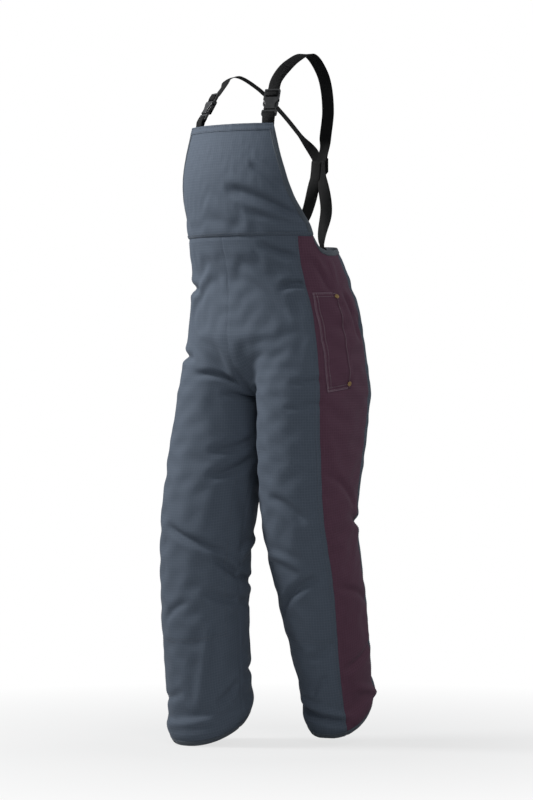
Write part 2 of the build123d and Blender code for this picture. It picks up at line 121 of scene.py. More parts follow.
def smooth_at(z, table):
    """Columns of a station table at heights z, on a smooth curve through the stations."""
    z = np.asarray(z, float)
    heights, values = table[:, 0], table[:, 1:]
    slopes = np.gradient(values, heights, axis=0)
    index = np.clip(np.searchsorted(heights, z) - 1, 0, len(heights) - 2)
    span = heights[index + 1] - heights[index]
    t = np.clip((z - heights[index]) / span, 0, 1)[..., None]
    span = span[..., None]
    return (
        values[index] * (1 + 2 * t) * (1 - t) ** 2
        + slopes[index] * span * t * (1 - t) ** 2
        + values[index + 1] * t * t * (3 - 2 * t)
        + slopes[index + 1] * span * t * t * (t - 1)
    )


def smoothstep(t):
    t = np.clip(t, 0, 1)
    return t * t * (3 - 2 * t)


def unit(vectors):
    vectors = np.asarray(vectors, float)
    return vectors / np.maximum(np.linalg.norm(vectors, axis=-1, keepdims=True), 1e-9)


def lengths_along(line):
    """Distance of each point of a line from its start."""
    return np.concatenate([[0], np.cumsum(np.linalg.norm(np.diff(line, axis=0), axis=-1))])


def column_angles(z, deep, end):
    """Angles of all grid columns at a height, spaced evenly inside the front, side and back panels."""
    front, back = smooth_at(z, SIDE_SEAMS)
    front_seam, back_seam = -math.asin(front / deep), math.asin(back / deep)
    return np.concatenate([
        np.linspace(-end, front_seam, FRONT_COLUMNS + 1),
        np.linspace(front_seam, back_seam, SIDE_COLUMNS + 1)[1:],
        np.linspace(back_seam, end, BACK_COLUMNS + 1)[1:],
    ])


def ring(part, side, z):
    """Ring of cloth at one height: half the trunk, from centre front to centre back, or a whole leg."""
    table, middle, end = (TRUNK, 0.0, math.pi / 2) if part == "trunk" else (LEG[side], LEG_X, math.pi)
    wide, deep, centre_y = smooth_at(z, table)
    angles = column_angles(z, deep, end)
    x = side * (middle + wide * np.cos(angles))
    return np.column_stack([x, centre_y + deep * np.sin(angles), np.full_like(angles, z)])


known_rings = {}


def ring_at(part, side, z):
    """A ring, worked out once for all places within the same tenth of a millimetre."""
    key = (part, side, round(float(z), 1))
    if key not in known_rings:
        known_rings[key] = ring(part, side, float(z))
    return known_rings[key]


def hem_heights(side):
    """Height of the hem round the leg: the cut of each hem slopes up from the instep to the heel."""
    _, deep, _ = smooth_at(0, LEG[side])
    angles = column_angles(0, deep, math.pi)
    slope = np.clip(0.5 + 0.5 * (np.sin(angles) + HEM_LEAN[side] * np.cos(angles)), 0, 1)
    return HEM_Z[side] + HEM_RISE[side] * slope**HEM_CURVE


def trouser_grid(side):
    """Grid of points of one half of the trousers."""
    grid = np.empty((ROWS + 1, COLUMNS + 1, 3))
    tops = np.interp(ring("trunk", side, ARMHOLE_Z)[:, 1], *ARMHOLE.T)
    tops[: BIB_COLUMN + 1] = WAIST_Z
    for row, column in np.ndindex(WAIST_ROWS + 1, COLUMNS + 1):
        z = tops[column] + row / WAIST_ROWS * (CROTCH_TOP_Z - tops[column])
        grid[row, column] = ring_at("trunk", side, z)[column]
    # Crotch: each ring opens from half a trunk to a whole leg, and its ends follow the round crotch seam.
    columns = np.arange(COLUMNS + 1)
    at_seam = 1 - smoothstep(np.minimum(columns, COLUMNS - columns) / CROTCH_SPREAD)
    for step in range(1, CROTCH_ROWS + 1):
        even = step / CROTCH_ROWS
        down = at_seam * math.sin(0.5 * math.pi * even) + (1 - at_seam) * even
        opened = 1 - np.sqrt(np.maximum(0, 1 - down * down))
        share = at_seam * opened + (1 - at_seam) * smoothstep(down)
        for column in columns:
            z = CROTCH_TOP_Z - (CROTCH_TOP_Z - FORK_Z) * down[column]
            trunk, leg = ring_at("trunk", side, z)[column], ring_at("leg", side, z)[column]
            grid[WAIST_ROWS + step, column] = trunk + share[column] * (leg - trunk)
            if column in (0, COLUMNS):
                grid[WAIST_ROWS + step, column, :2] = 0.0, trunk[1] + share[column] * (CROTCH_Y - trunk[1])
    grid[FORK_ROW, 0] = grid[FORK_ROW, -1] = (0.0, CROTCH_Y, FORK_Z)
    hem = hem_heights(side)
    for step, column in np.ndindex(LEG_ROWS, COLUMNS + 1):
        z = FORK_Z + (step + 1) / LEG_ROWS * (hem[column] - FORK_Z)
        grid[FORK_ROW + 1 + step, column] = ring_at("leg", side, z)[column]
    return grid


def waist_seam(grids, edge):
    """Top row of the trousers' front, from the right edge of the bib to its left edge."""
    return np.concatenate([grids[RIGHT][0, edge:0:-1], grids[LEFT][0, : edge + 1]])


def bib_grid(grids):
    """Grid of the bib: rows upward from the waist seam, columns from the right edge to the left edge."""

    def angle_at(y, deep, centre_y):
        return np.arcsin(np.clip((y - centre_y) / deep, -1, 1)) + math.pi / 2

    half = angle_at(grids[LEFT][0, : BIB_COLUMN + 1, 1], *smooth_at(WAIST_Z, TRUNK)[1:])
    spread = half / half[-1]
    spread = np.concatenate([-spread[:0:-1], spread])
    grid = np.empty((BIB_ROWS + 1, 2 * BIB_COLUMN + 1, 3))
    grid[0] = waist_seam(grids, BIB_COLUMN)
    for row in range(1, BIB_ROWS + 1):
        z = WAIST_Z + (BIB_TOP_Z - WAIST_Z) * row / BIB_ROWS
        wide, deep, centre_y = smooth_at(z, TRUNK)
        angles = spread * angle_at(smooth_at(z, BIB_EDGE)[0], deep, centre_y)
        x, y = wide * np.sin(angles), centre_y - deep * np.cos(angles)
        grid[row] = np.column_stack([x, y, np.full_like(x, z)])
    return grid


# ---- folds ----
# Each fold runs from one place on the cloth to another: a ridge with a hollow on both sides, or a crease
# where its depth is negative. A place is (share of the way across the grid, height). The last values are half
# width, depth and sag.
FOLDS = {
    RIGHT: [
        # drawn-in cloth at the front of the waist and the top of the thigh
        ((0.50, 958), (0.22, 948), 14, -8.0, 0), ((0.50, 818), (0.24, 806), 13, -8.0, 0),
        # creases that fan out from the crotch
        ((0.22, 772), (0.03, 752), 11, -6.0, -6), ((0.13, 731), (0.01, 716), 10, -5.0, -4),
        ((0.15, 612), (0.02, 640), 14, -6.0, 5), ((0.14, 560), (0.01, 598), 15, -7.0, 5),
        # knee folds, deepest on the inner side
        ((0.27, 455), (0.05, 405), 12, -7.0, 6), ((0.10, 392), (0.00, 354), 12, -9.0, 0),
        ((1.00, 354), (0.86, 338), 12, -8.0, 0), ((0.13, 320), (0.00, 304), 14, -6.0, 4),
        ((1.00, 304), (0.88, 300), 14, -5.0, 0), ((0.85, 430), (1.00, 395), 14, 5.0, 6),
        ((0.20, 300), (0.30, 262), 12, -2.5, 4),
        # stacking over the hem
        ((0.12, 250), (0.17, 90), 16, 2.5, 0), ((0.02, 128), (0.10, 88), 12, -5.0, 0),
        ((0.10, 62), (0.34, 44), 12, 4.5, -6), ((0.24, 112), (0.42, 96), 12, -2.5, -6),
        ((0.70, 190), (0.96, 150), 14, -4.0, -6),
    ],
    LEFT: [
        # under the waist seam, beside the side panel, and at the crotch
        ((0.19, 1044), (0.37, 1014), 14, -8.5, -7), ((0.27, 950), (0.39, 956), 11, -8.5, 2),
        ((0.12, 745), (0.02, 722), 11, -4.0, -4), ((0.32, 752), (0.41, 762), 9, -3.0, 0),
        ((0.30, 700), (0.41, 712), 9, -3.0, 0),
        # long diagonals across the knee and shin
        ((0.22, 520), (0.33, 470), 15, -4.0, 6), ((0.17, 284), (0.34, 352), 13, -7.0, 4),
        ((0.15, 400), (0.30, 372), 13, 3.5, 6), ((0.27, 180), (0.36, 204), 10, -4.0, 0),
        ((0.25, 108), (0.34, 146), 10, -4.0, 0),
        # tuck over the hem
        ((0.14, 96), (0.41, 64), 9, 5.0, -3), ((0.12, 80), (0.41, 46), 10, -8.0, -3),
        # behind the mouth of the pocket
        ((0.535, 940), (0.565, 845), 10, -6.0, 3),
        # side panel and back of the knee
        ((0.55, 474), (0.76, 452), 14, -7.0, 0), ((0.44, 560), (0.56, 500), 12, -3.0, 5),
        ((0.43, 330), (0.60, 300), 13, -3.5, 6), ((0.42, 158), (0.61, 216), 12, -5.5, 0),
        ((0.46, 120), (0.62, 100), 12, 4.0, 4), ((0.74, 500), (0.98, 440), 15, -5.0, 8),
        ((0.72, 400), (0.98, 370), 15, -5.0, 8),
    ],
    BIB: [
        ((0.60, 1150), (0.98, 1094), 18, -8.0, 8), ((0.70, 1102), (0.98, 1070), 12, -4.5, 0),
        ((0.78, 1200), (0.97, 1150), 16, -3.0, 4), ((0.04, 1110), (0.20, 1072), 16, -3.5, 4),
        ((0.40, 1120), (0.60, 1092), 24, 1.8, 6),
    ],
}
# Folds that both halves have: across the seat and along the hip.
SHARED_FOLDS = [
    ((0.10, 985), (0.30, 905), 18, 2.5, 8), ((0.44, 1005), (0.47, 940), 10, -3.0, 3),
    ((0.52, 1008), (0.50, 950), 10, 3.0, 3), ((0.58, 900), (0.62, 800), 13, -4.0, 5),
    ((0.74, 770), (0.99, 735), 18, -5.0, -8), ((0.72, 720), (0.96, 680), 16, -4.5, -8),
    ((0.76, 905), (0.96, 850), 20, 3.5, 10),
]
TYPICAL_GIRTH = 575.0
FOLD_OVERRUN = 0.12  # a fold fades out this far past its ends, as a share of its length
FOLD_FADE = 0.30
FOLD_HOLLOW = 1.2
HEM_SWELL = (5.0, 26.0, 16.0)  # height, distance from the hem and half width
HEM_TUCK = (4.0, 9.0)  # depth and half width
FLAT_ROWS = 5  # folds grow over this many rows from the top edge


def fold_height(places, fold):
    """Height of one fold over the cloth at places given as (arc length, height), in the same units."""
    (start_share, start_z), (end_share, end_z), half_width, depth, sag = fold
    start = np.array([start_share * TYPICAL_GIRTH, start_z])
    along = np.array([end_share * TYPICAL_GIRTH, end_z]) - start
    length = np.linalg.norm(along)
    along /= length
    across = np.array([-along[1], along[0]])
    offset = places - start
    t = offset @ along / length
    reach = smoothstep((t + FOLD_OVERRUN) / FOLD_FADE) * smoothstep((1 + FOLD_OVERRUN - t) / FOLD_FADE)
    distance = (offset @ across - sag * (1 - (2 * np.clip(t, 0, 1) - 1) ** 2)) / half_width
    return depth * reach * (1 - FOLD_HOLLOW * distance**2) * np.exp(-(distance**2))


def grid_normals(grid, facing):
    """Unit normals of a grid of points."""
    return unit(np.cross(np.gradient(grid, axis=1), np.gradient(grid, axis=0)) * facing)


def rumple(grid, part):
    """The grid with its folds raised, and on a leg the swell and the tuck over the hem."""
    rows, columns = grid.shape[:2]
    share = np.linspace(0, 1, columns)[None, :].repeat(rows, axis=0)
    places = np.stack([share * TYPICAL_GIRTH, grid[..., 2]], axis=-1)
    height = sum(fold_height(places, fold) for fold in FOLDS[part] + (SHARED_FOLDS if part in SIDES else []))
    if part in SIDES:
        from_hem = grid[..., 2] - grid[-1, :, 2]
        swell, middle, half_width = HEM_SWELL
        height = height + swell * np.exp(-((from_hem - middle) / half_width) ** 2)
        height = height - HEM_TUCK[0] * np.exp(-((from_hem / HEM_TUCK[1]) ** 2))
    height *= smoothstep(np.linspace(0, rows - 1, rows) / FLAT_ROWS)[:, None]
    return grid + grid_normals(grid, FACING[part]) * height[..., None]


# ---- the whole cloth as one welded mesh, relaxed as cloth ----
SIM_FRAMES = 26
SIM_LIMIT = 14.0
SIM_SMOOTHING = 5
SIM_GRAVITY = 0.25
SIM_SETTINGS = {
    "quality": 6, "mass": 0.35, "tension_stiffness": 25, "compression_stiffness": 25, "shear_stiffness": 12,
    "bending_stiffness": 50, "tension_damping": 15, "compression_damping": 15, "shear_damping": 10,
    "bending_damping": 1, "air_damping": 4, "shrink_min": -0.03, "vertex_group_mass": "hold",
    "pin_stiffness": 0.9,
}
# How firmly the cloth is held meanwhile, from 0, free, to 1, fixed: rows, columns, hold.
FREE_HOLD = 0.42
TROUSER_HOLDS = [
    ([0, -1], ALL, 1.0), (slice(1, 4), ALL, 0.8), (slice(-4, -1), ALL, 0.7),
    (slice(4, -4), [FRONT_COLUMNS, FRONT_COLUMNS + SIDE_COLUMNS], 0.62), (slice(4, FORK_ROW + 1), 0, 0.7),
]
BIB_HOLDS = [(slice(6, None), ALL, 0.62), (-1, ALL, 1.0), (ALL, [0, -1], 0.9)]


def add_object(name, data):
    shown = bpy.data.objects.new(name, data)
    bpy.context.scene.collection.objects.link(shown)
    return shown


def numbered(grid):
    """Numbers of the points of a grid."""
    return np.arange(grid.shape[0] * grid.shape[1]).reshape(grid.shape[:2])


def quads(number, facing):
    """Faces over a grid of point numbers."""
    a, b, c, d = number[:-1, :-1], number[:-1, 1:], number[1:, 1:], number[1:, :-1]
    corners = (a, b, c, d) if facing > 0 else (a, d, c, b)
    return np.stack([corner.ravel() for corner in corners], axis=1)


def weld(grids):
    """Numbers the points of all grids so that points on a shared seam have one number."""
    places, numbers, seen = [], {}, {}
    for part, grid in grids.items():
        numbers[part] = np.empty(grid.shape[:2], int)
        keys = np.round(grid, 2)
        for spot in np.ndindex(grid.shape[:2]):
            key = tuple(keys[spot])
            if key not in seen:
                seen[key] = len(places)
                places.append(grid[spot])
            numbers[part][spot] = seen[key]
    return np.array(places), numbers


def holds(numbers, count):
    """How firmly each point of the cloth is held."""
    hold = np.full(count, FREE_HOLD)
    for part, number in numbers.items():
        for rows, columns, value in TROUSER_HOLDS if part in SIDES else BIB_HOLDS:
            hold[number[rows, columns]] = value
    return hold


def relax(places, faces, hold):
    """Lets the cloth buckle: it grows a little while soft springs hold it near its shape."""
    mesh = bpy.data.meshes.new("relaxing")
    mesh.from_pydata((places * MM).tolist(), [], faces.tolist())
    cloth_object = add_object("relaxing", mesh)
    group = cloth_object.vertex_groups.new(name="hold")
    for level in np.unique(hold):
        group.add(np.nonzero(hold == level)[0].tolist(), float(level), "REPLACE")
    cloth = cloth_object.modifiers.new("cloth", "CLOTH")
    for name, value in SIM_SETTINGS.items():
        setattr(cloth.settings, name, value)
    cloth.settings.effector_weights.gravity = SIM_GRAVITY
    cloth.collision_settings.use_collision = False
    cloth.collision_settings.use_self_collision = False
    cloth.point_cache.frame_start = 1
    cloth.point_cache.frame_end = SIM_FRAMES
    scene = bpy.context.scene
    for frame_number in range(1, SIM_FRAMES + 1):
        scene.frame_set(frame_number)
    relaxed = cloth_object.evaluated_get(bpy.context.evaluated_depsgraph_get()).to_mesh()
    moved = np.empty(len(relaxed.vertices) * 3, np.float32)
    relaxed.vertices.foreach_get("co", moved)
    moved = moved.reshape(-1, 3).astype(float) / MM
    bpy.data.objects.remove(cloth_object)
    scene.frame_set(1)
    step = smooth_over(moved - places, faces, SIM_SMOOTHING)
    length = np.linalg.norm(step, axis=1, keepdims=True)
    return places + step * np.minimum(1, SIM_LIMIT / np.maximum(length, 1e-6))


def smooth_over(values, faces, rounds):
    """Averages values over neighbouring points of the cloth, keeping the broad folds."""
    starts, ends = faces.T.ravel(), np.roll(faces, -1, axis=1).T.ravel()
    count = np.bincount(starts, minlength=len(values)) + np.bincount(ends, minlength=len(values))
    for _ in range(rounds):
        total = np.zeros_like(values)
        np.add.at(total, starts, values[ends])
        np.add.at(total, ends, values[starts])
        values = 0.5 * values + 0.5 * total / np.maximum(count, 1)[:, None]
    return values


def refine(grid):
    """A grid with twice as many rows and columns, on a smooth surface through the old points."""
    for axis in (0, 1):
        lines = np.moveaxis(grid, axis, 0)
        padded = np.concatenate([2 * lines[:1] - lines[1:2], lines, 2 * lines[-1:] - lines[-2:-1]])
        result = np.empty((2 * len(lines) - 1,) + lines.shape[1:])
        result[0::2] = lines
        result[1::2] = (-padded[:-3] + 9 * padded[1:-2] + 9 * padded[2:-1] - padded[3:]) / 16
        grid = np.moveaxis(result, 0, axis)
    return grid


def build_cloth():
    """Relaxed and refined grids of both trouser halves and the bib."""
    plain = {side: trouser_grid(side) for side in SIDES}
    plain[BIB] = bib_grid(plain)
    places, numbers = weld(plain)
    for part, number in numbers.items():
        places[number] = rumple(plain[part], part)
    faces = np.concatenate([quads(number, FACING[part]) for part, number in numbers.items()])
    places = relax(places, faces, holds(numbers, len(places)))
    return {part: refine(places[number]) for part, number in numbers.items()}


# ---- mesh building ----
class Sheet(NamedTuple):
    """A grid of cloth points, in millimetres, with the normals and UVs there."""

    grid: np.ndarray
    normals: np.ndarray
    uvs: np.ndarray
    facing: int

    def part(self, rows, columns, lift=0.0):
        """A part of the sheet, lifted along its normals."""
        grid, normals, uvs = (values[rows, columns] for values in self[:3])
        return Sheet(grid + normals * lift, normals, uvs, self.facing)

    def line(self, column, span):
        """Points and normals down a column, which may lie between two columns of the grid."""
        low = min(int(column), self.grid.shape[1] - 2)
        share = column - low
        return [(values[:, low] * (1 - share) + values[:, low + 1] * share)[span] for values in self[:2]]

    def turned(self):
        """The same sheet with its rows and columns exchanged."""
        return Sheet(*(np.swapaxes(values, 0, 1) for values in self[:3]), -self.facing)


def cloth_uvs(grid, seam):
    """Distances over the cloth, across from one seam and down from the top, in metres."""
    steps = np.linalg.norm(np.diff(grid, axis=1), axis=-1)
    across = np.concatenate([np.zeros((len(grid), 1)), np.cumsum(steps, axis=1)], axis=1)
    across -= across[:, seam:seam + 1]
    down = lengths_along(grid[:, seam])
    return np.stack([across, np.repeat(down[:, None], grid.shape[1], axis=1)], axis=-1) * MM


class Piece:
    """Collects the surfaces of one visible piece, in millimetres, with a material and UVs for each."""

    def __init__(self, name, side=None):
        self.prefix = "" if side is None else f"{NAME[side]}_"
        self.name = self.prefix + name
        self.places, self.normals, self.uvs, self.faces, self.slots = [], [], [], [], []
        self.count = 0

    def add(self, places, faces, slots, uvs=None, normals=None):
        """Adds a surface; slots is one material number, or one for each face."""
        places = np.asarray(places, float).reshape(-1, 3)
        self.places.append(places)
        self.normals.append(np.zeros_like(places) if normals is None else normals)
        self.uvs.append(np.zeros((len(places), 2)) if uvs is None else uvs.reshape(-1, 2))
        self.faces.extend([[corner + self.count for corner in face] for face in faces])
        self.slots.extend([slots] * len(faces) if isinstance(slots, int) else slots)
        self.count += len(places)

    def finish(self, materials, slot, motion, *nodes):
        """Makes the object, which stands for CAD nodes of the same side: it is parented to its body, or,
        where the motion names a bend, only has its transform applied.
        """
        mesh = bpy.data.meshes.new(self.name)
        mesh.from_pydata((np.concatenate(self.places) * MM).tolist(), [], self.faces)
        work = bmesh.new()
        work.from_mesh(mesh)
        bmesh.ops.recalc_face_normals(work, faces=work.faces)
        work.to_mesh(mesh)
        work.free()
        for material in materials:
            mesh.materials.append(material)
        mesh.polygons.foreach_set("material_index", np.array(self.slots, np.int32))
        mesh.polygons.foreach_set("use_smooth", np.ones(len(mesh.polygons), bool))
        corner_points = np.empty(len(mesh.loops), np.int32)
        mesh.loops.foreach_get("vertex_index", corner_points)
        layer = mesh.uv_layers.new(name="cloth")
        layer.data.foreach_set("uv", np.concatenate(self.uvs)[corner_points].astype(np.float32).ravel())
        mesh.update()
        normals = np.concatenate(self.normals)
        if np.abs(normals).max() > 0:
            mesh.normals_split_custom_set_from_vertices(normals.tolist())
        shown = add_object(self.name, mesh)
        body, *bend = motion
        if bend:
            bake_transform(shown)
        else:
            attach(shown, body)
        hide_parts(*(self.prefix + node for node in nodes))


def add_shell(piece, sheet, half_thick, slots=(0, 0)):
    """A closed sheet round a grid: an outer face, an inner face and the rim round all four sides."""
    number = numbered(sheet.grid)
    count = number.size
    face, back = quads(number, sheet.facing), quads(number + count, -sheet.facing)
    border = np.concatenate([number[0, :-1], number[:-1, -1], number[-1, :0:-1], number[:0:-1, 0]])
    following = np.roll(border, -1)
    rim = np.stack([border, following, following + count, border + count], axis=1)[:, ::-sheet.facing]
    places, normals = sheet.grid.reshape(-1, 3), sheet.normals.reshape(-1, 3)
    piece.add(
        np.concatenate([places + normals * half_thick, places - normals * half_thick]),
        np.concatenate([face, back, rim]).tolist(),
        [slots[0]] * len(face) + [slots[1]] * (len(back) + len(rim)),
        np.concatenate([sheet.uvs, sheet.uvs]),
        np.concatenate([normals, -normals]),
    )


def tube_faces(rings, points, closed=False):
    """Faces of a tube through rings of points, with flat ends unless it closes on itself."""
    number = np.arange(rings * points).reshape(rings, points)
    ends = [] if closed else [number[0, ::-1].tolist(), number[-1].tolist()]
    number = np.concatenate([number, number[:, :1]], axis=1)
    if closed:
        number = np.concatenate([number, number[:1]])
    return quads(number, 1).tolist() + ends


def add_sweep(piece, path, first, second, profile, slot, uvs=None, closed=False):
    """A tube along a path, with its profile measured along two directions."""
    profile = np.asarray(profile, float)
    sections = path[:, None] + profile[:, :1] * first[:, None] + profile[:, 1:] * second[:, None]
    piece.add(sections, tube_faces(len(path), len(profile), closed), slot, uvs)


def profile_uvs(path, profile):
    """Distances across and along a band, in metres."""
    return np.stack(np.meshgrid([wide for wide, _ in profile], lengths_along(path)), axis=-1) * MM


def circle(radius, count):
    turns = np.linspace(0, 2 * math.pi, count + 1)[:-1]
    return radius * np.column_stack([np.cos(turns), np.sin(turns)])


def curve_through(points, steps):
    """Points on a smooth curve through the given points."""
    points = np.asarray(points, float)
    lengths = lengths_along(points)
    return smooth_at(np.linspace(0, lengths[-1], steps), np.column_stack([lengths, points]))


def spaced(line, values, pitch):
    """Values at places spaced evenly along a line."""
    lengths = lengths_along(line)
    places = np.linspace(0, lengths[-1], max(2, int(lengths[-1] / pitch)))
    return np.column_stack([np.interp(places, lengths, column) for column in values.T])


STITCH_PITCH = 4.2
STITCH_LENGTH = 2.7
STITCH_RING = circle(0.42, 6)
# Rings of one stitch: share of its length, size, lift off the cloth.
STITCH_SHAPE = ((-0.5, 0.35, -0.2), (-0.3, 1.0, 0.25), (0.3, 1.0, 0.25), (0.5, 0.35, -0.2))


def add_stitches(piece, line, normals, slot):
    """A row of separate thread stitches lying on the cloth along a line."""
    middles, ups = spaced(line, line, STITCH_PITCH), unit(spaced(line, normals, STITCH_PITCH))
    ahead = unit(np.gradient(middles, axis=0))
    across = unit(np.cross(ahead, ups))
    faces = tube_faces(len(STITCH_SHAPE), len(STITCH_RING))
    for middle, up, along, beside in zip(middles, ups, ahead, across):
        piece.add([
            middle + along * share * STITCH_LENGTH + up * lift + size * (beside * a + up * b)
            for share, size, lift in STITCH_SHAPE
            for a, b in STITCH_RING
        ], faces, slot)


def stitch(piece, sheet, columns, span, slot, lift=CLOTH / 2):
    """Lines of stitches down columns of a sheet."""
    for column in columns:
        line, ups = sheet.line(column, span)
        add_stitches(piece, line + ups * lift, ups, slot)


# ---- materials ----
class Nodes:
    """Short calls for building the node tree of a material or of the world."""

    def __init__(self, owner):
        owner.use_nodes = True
        self.owner, self.tree = owner, owner.node_tree

    def add(self, kind, **settings):
        node = self.tree.nodes.new(kind)
        for key, value in settings.items():
            if key in node.inputs:
                self.feed(value, node.inputs[key])
            else:
                setattr(node, key, value)
        return node

    def feed(self, value, target):
        """Gives an input a number, a colour, or the output of another node."""
        if isinstance(value, bpy.types.NodeSocket):
            self.tree.links.new(value, target)
        else:
            target.default_value = (*value, 1.0) if isinstance(value, tuple) else value

    def feed_all(self, node, *values):
        for value, target in zip(values, node.inputs):
            self.feed(value, target)
        return node.outputs[0]

    def math(self, operation, *values):
        return self.feed_all(self.add("ShaderNodeMath", operation=operation), *values)

    def mix(self, share, first, second):
        node = self.add("ShaderNodeMix", data_type="RGBA")
        for index, value in ((0, share), (6, first), (7, second)):
            self.feed(value, node.inputs[index])
        return node.outputs[2]

    def noise(self, scale, detail, roughness=0.5):
        """Noise that lies on the object, its scale in metres."""
        place = self.add("ShaderNodeTexCoord").outputs["Object"]
        noise = self.add("ShaderNodeTexNoise", Vector=place, Scale=scale, Detail=detail, Roughness=roughness)
        return noise.outputs[0]

    def cloth_uv(self):
        """Distances across and along the cloth, in metres."""
        parts = self.add("ShaderNodeSeparateXYZ")
        self.feed(self.add("ShaderNodeUVMap", uv_map="cloth").outputs[0], parts.inputs[0])
        return parts.outputs[:2]

    def thread_line(self, coordinate, pitch, width):
        """1 on thin lines repeating along a coordinate given in metres, 0 between them."""
        phase = self.math("FRACT", self.math("DIVIDE", coordinate, pitch))
        near = self.math("ABSOLUTE", self.math("SUBTRACT", phase, 0.5))
        return self.math("LESS_THAN", near, 0.5 * width / pitch)

    def wave(self, coordinate, pitch):
        """Smooth 0 to 1 wave along a coordinate given in metres."""
        turned = self.math("MULTIPLY", coordinate, 2 * math.pi / pitch)
        return self.math("MULTIPLY_ADD", self.math("SINE", turned), 0.5, 0.5)

    def bump(self, height, strength, distance=0.0004):
        return self.add("ShaderNodeBump", Height=height, Strength=strength, Distance=distance).outputs[0]

    def shade(self, **inputs):
        """Feeds the inputs of a material's shader, with _ for the spaces in their names."""
        for key, value in inputs.items():
            self.feed(value, self.tree.nodes["Principled BSDF"].inputs[key.replace("_", " ")])
        return self.owner

    def show_camera(self, lit, shown, share, output):
        """Shows the camera another surface than the one that lights the scene."""
        seen = self.math("MULTIPLY", share, self.add("ShaderNodeLightPath").outputs["Is Camera Ray"])
        either = self.feed_all(self.add("ShaderNodeMixShader"), seen, lit, shown)
        self.feed(either, self.tree.nodes[output].inputs["Surface"])
        return self.owner


def new_nodes(name):
    return Nodes(bpy.data.materials.new(name))


def tint(colour, scale, offset=0.0):
    return tuple(min(1.0, part * scale + offset) for part in colour)


RIPSTOP_PITCH = 0.0056
RIPSTOP_THREAD = 0.0009
WEAVE_PITCH = 0.0011


def ripstop_cloth(name, colour, shade):
    """Plain weave with thicker threads in a fine square grid, slightly faded in patches."""
    nodes = new_nodes(name)
    ways = nodes.cloth_uv()
    grid = nodes.math("MAXIMUM", *(nodes.thread_line(way, RIPSTOP_PITCH, RIPSTOP_THREAD) for way in ways))
    weave = nodes.math("MULTIPLY", *(nodes.wave(way, WEAVE_PITCH) for way in ways))
    patches, slubs = nodes.noise(7.0, 4.0, 0.6), nodes.noise(160.0, 3.0, 0.7)
    faded = nodes.mix(patches, shade, colour)
    threads = nodes.mix(nodes.math("MULTIPLY", grid, 0.5), faded, tint(colour, 1.28, 0.004))
    flecked = nodes.mix(nodes.math("MULTIPLY", slubs, 0.35), threads, shade)
    relief = nodes.math("MULTIPLY_ADD", weave, 0.35, nodes.math("MULTIPLY", grid, 0.7))
    relief = nodes.math("MULTIPLY_ADD", slubs, 0.9, relief)
    return nodes.shade(
        Base_Color=flecked, Normal=nodes.bump(relief, 0.45), Roughness=0.82, Specular_IOR_Level=0.3,
        Sheen_Weight=0.05, Sheen_Roughness=0.45, Sheen_Tint=(0.75, 0.82, 0.95),
    )


def woven_tape(name, colour, rib, roughness, sheen):
    """Narrow woven tape or webbing: ribs across, a herringbone down its length, with painted shade in the low
    places of the weave.
    """
    nodes = new_nodes(name)
    across, along = nodes.cloth_uv()
    slanted = nodes.math("MULTIPLY_ADD", nodes.math("ABSOLUTE", across), 0.9, along)
    relief = nodes.math("MULTIPLY_ADD", nodes.wave(across, rib * 1.3), 0.5, nodes.wave(slanted, rib))
    fuzz = nodes.math("MULTIPLY", nodes.noise(220.0, 3.0), 0.3)
    # painted shade: the colour darkens to 45% in the low places of the ribs and herringbone; the lighter fuzz
    # is random
    fuzz_and_groove_shade = nodes.mix(fuzz, nodes.mix(relief, tint(colour, 0.45), colour), tint(colour, 1.6))
    return nodes.shade(
        Base_Color=fuzz_and_groove_shade, Normal=nodes.bump(relief, 0.6), Roughness=roughness, Sheen_Weight=sheen,
        Specular_IOR_Level=0.2,
    )


def plain_cloth(name, colour, roughness=0.9):
    """Lining, felt or thread: one dyed colour broken by fine noise."""
    nodes = new_nodes(name)
    noise = nodes.noise(300.0, 4.0, 0.65)
    mixed = nodes.mix(noise, tint(colour, 0.7), tint(colour, 1.25))
    relief = nodes.bump(noise, 0.35)
    return nodes.shade(Base_Color=mixed, Normal=relief, Roughness=roughness, Sheen_Weight=0.2)


def moulded_plastic(name):
    """Satin black moulding with a fine spark-eroded grain and scuffed high spots."""
    nodes = new_nodes(name)
    grain, scuffs = nodes.noise(1800.0, 2.0), nodes.noise(90.0, 5.0, 0.7)
    colour = nodes.mix(scuffs, (0.016, 0.016, 0.017), (0.045, 0.045, 0.046))
    rough = nodes.math("MULTIPLY_ADD", scuffs, 0.25, 0.22)
    return nodes.shade(Base_Color=colour, Roughness=rough, Normal=nodes.bump(grain, 0.12, 0.0002))


def aged_brass(name):
    """Brass gone brown in patches."""
    nodes = new_nodes(name)
    stain = nodes.noise(420.0, 5.0)
    colour = nodes.mix(stain, (0.24, 0.13, 0.05), (0.72, 0.50, 0.22))
    rough = nodes.math("MULTIPLY_ADD", stain, 0.3, 0.22)
    return nodes.shade(Base_Color=colour, Metallic=1.0, Roughness=rough)


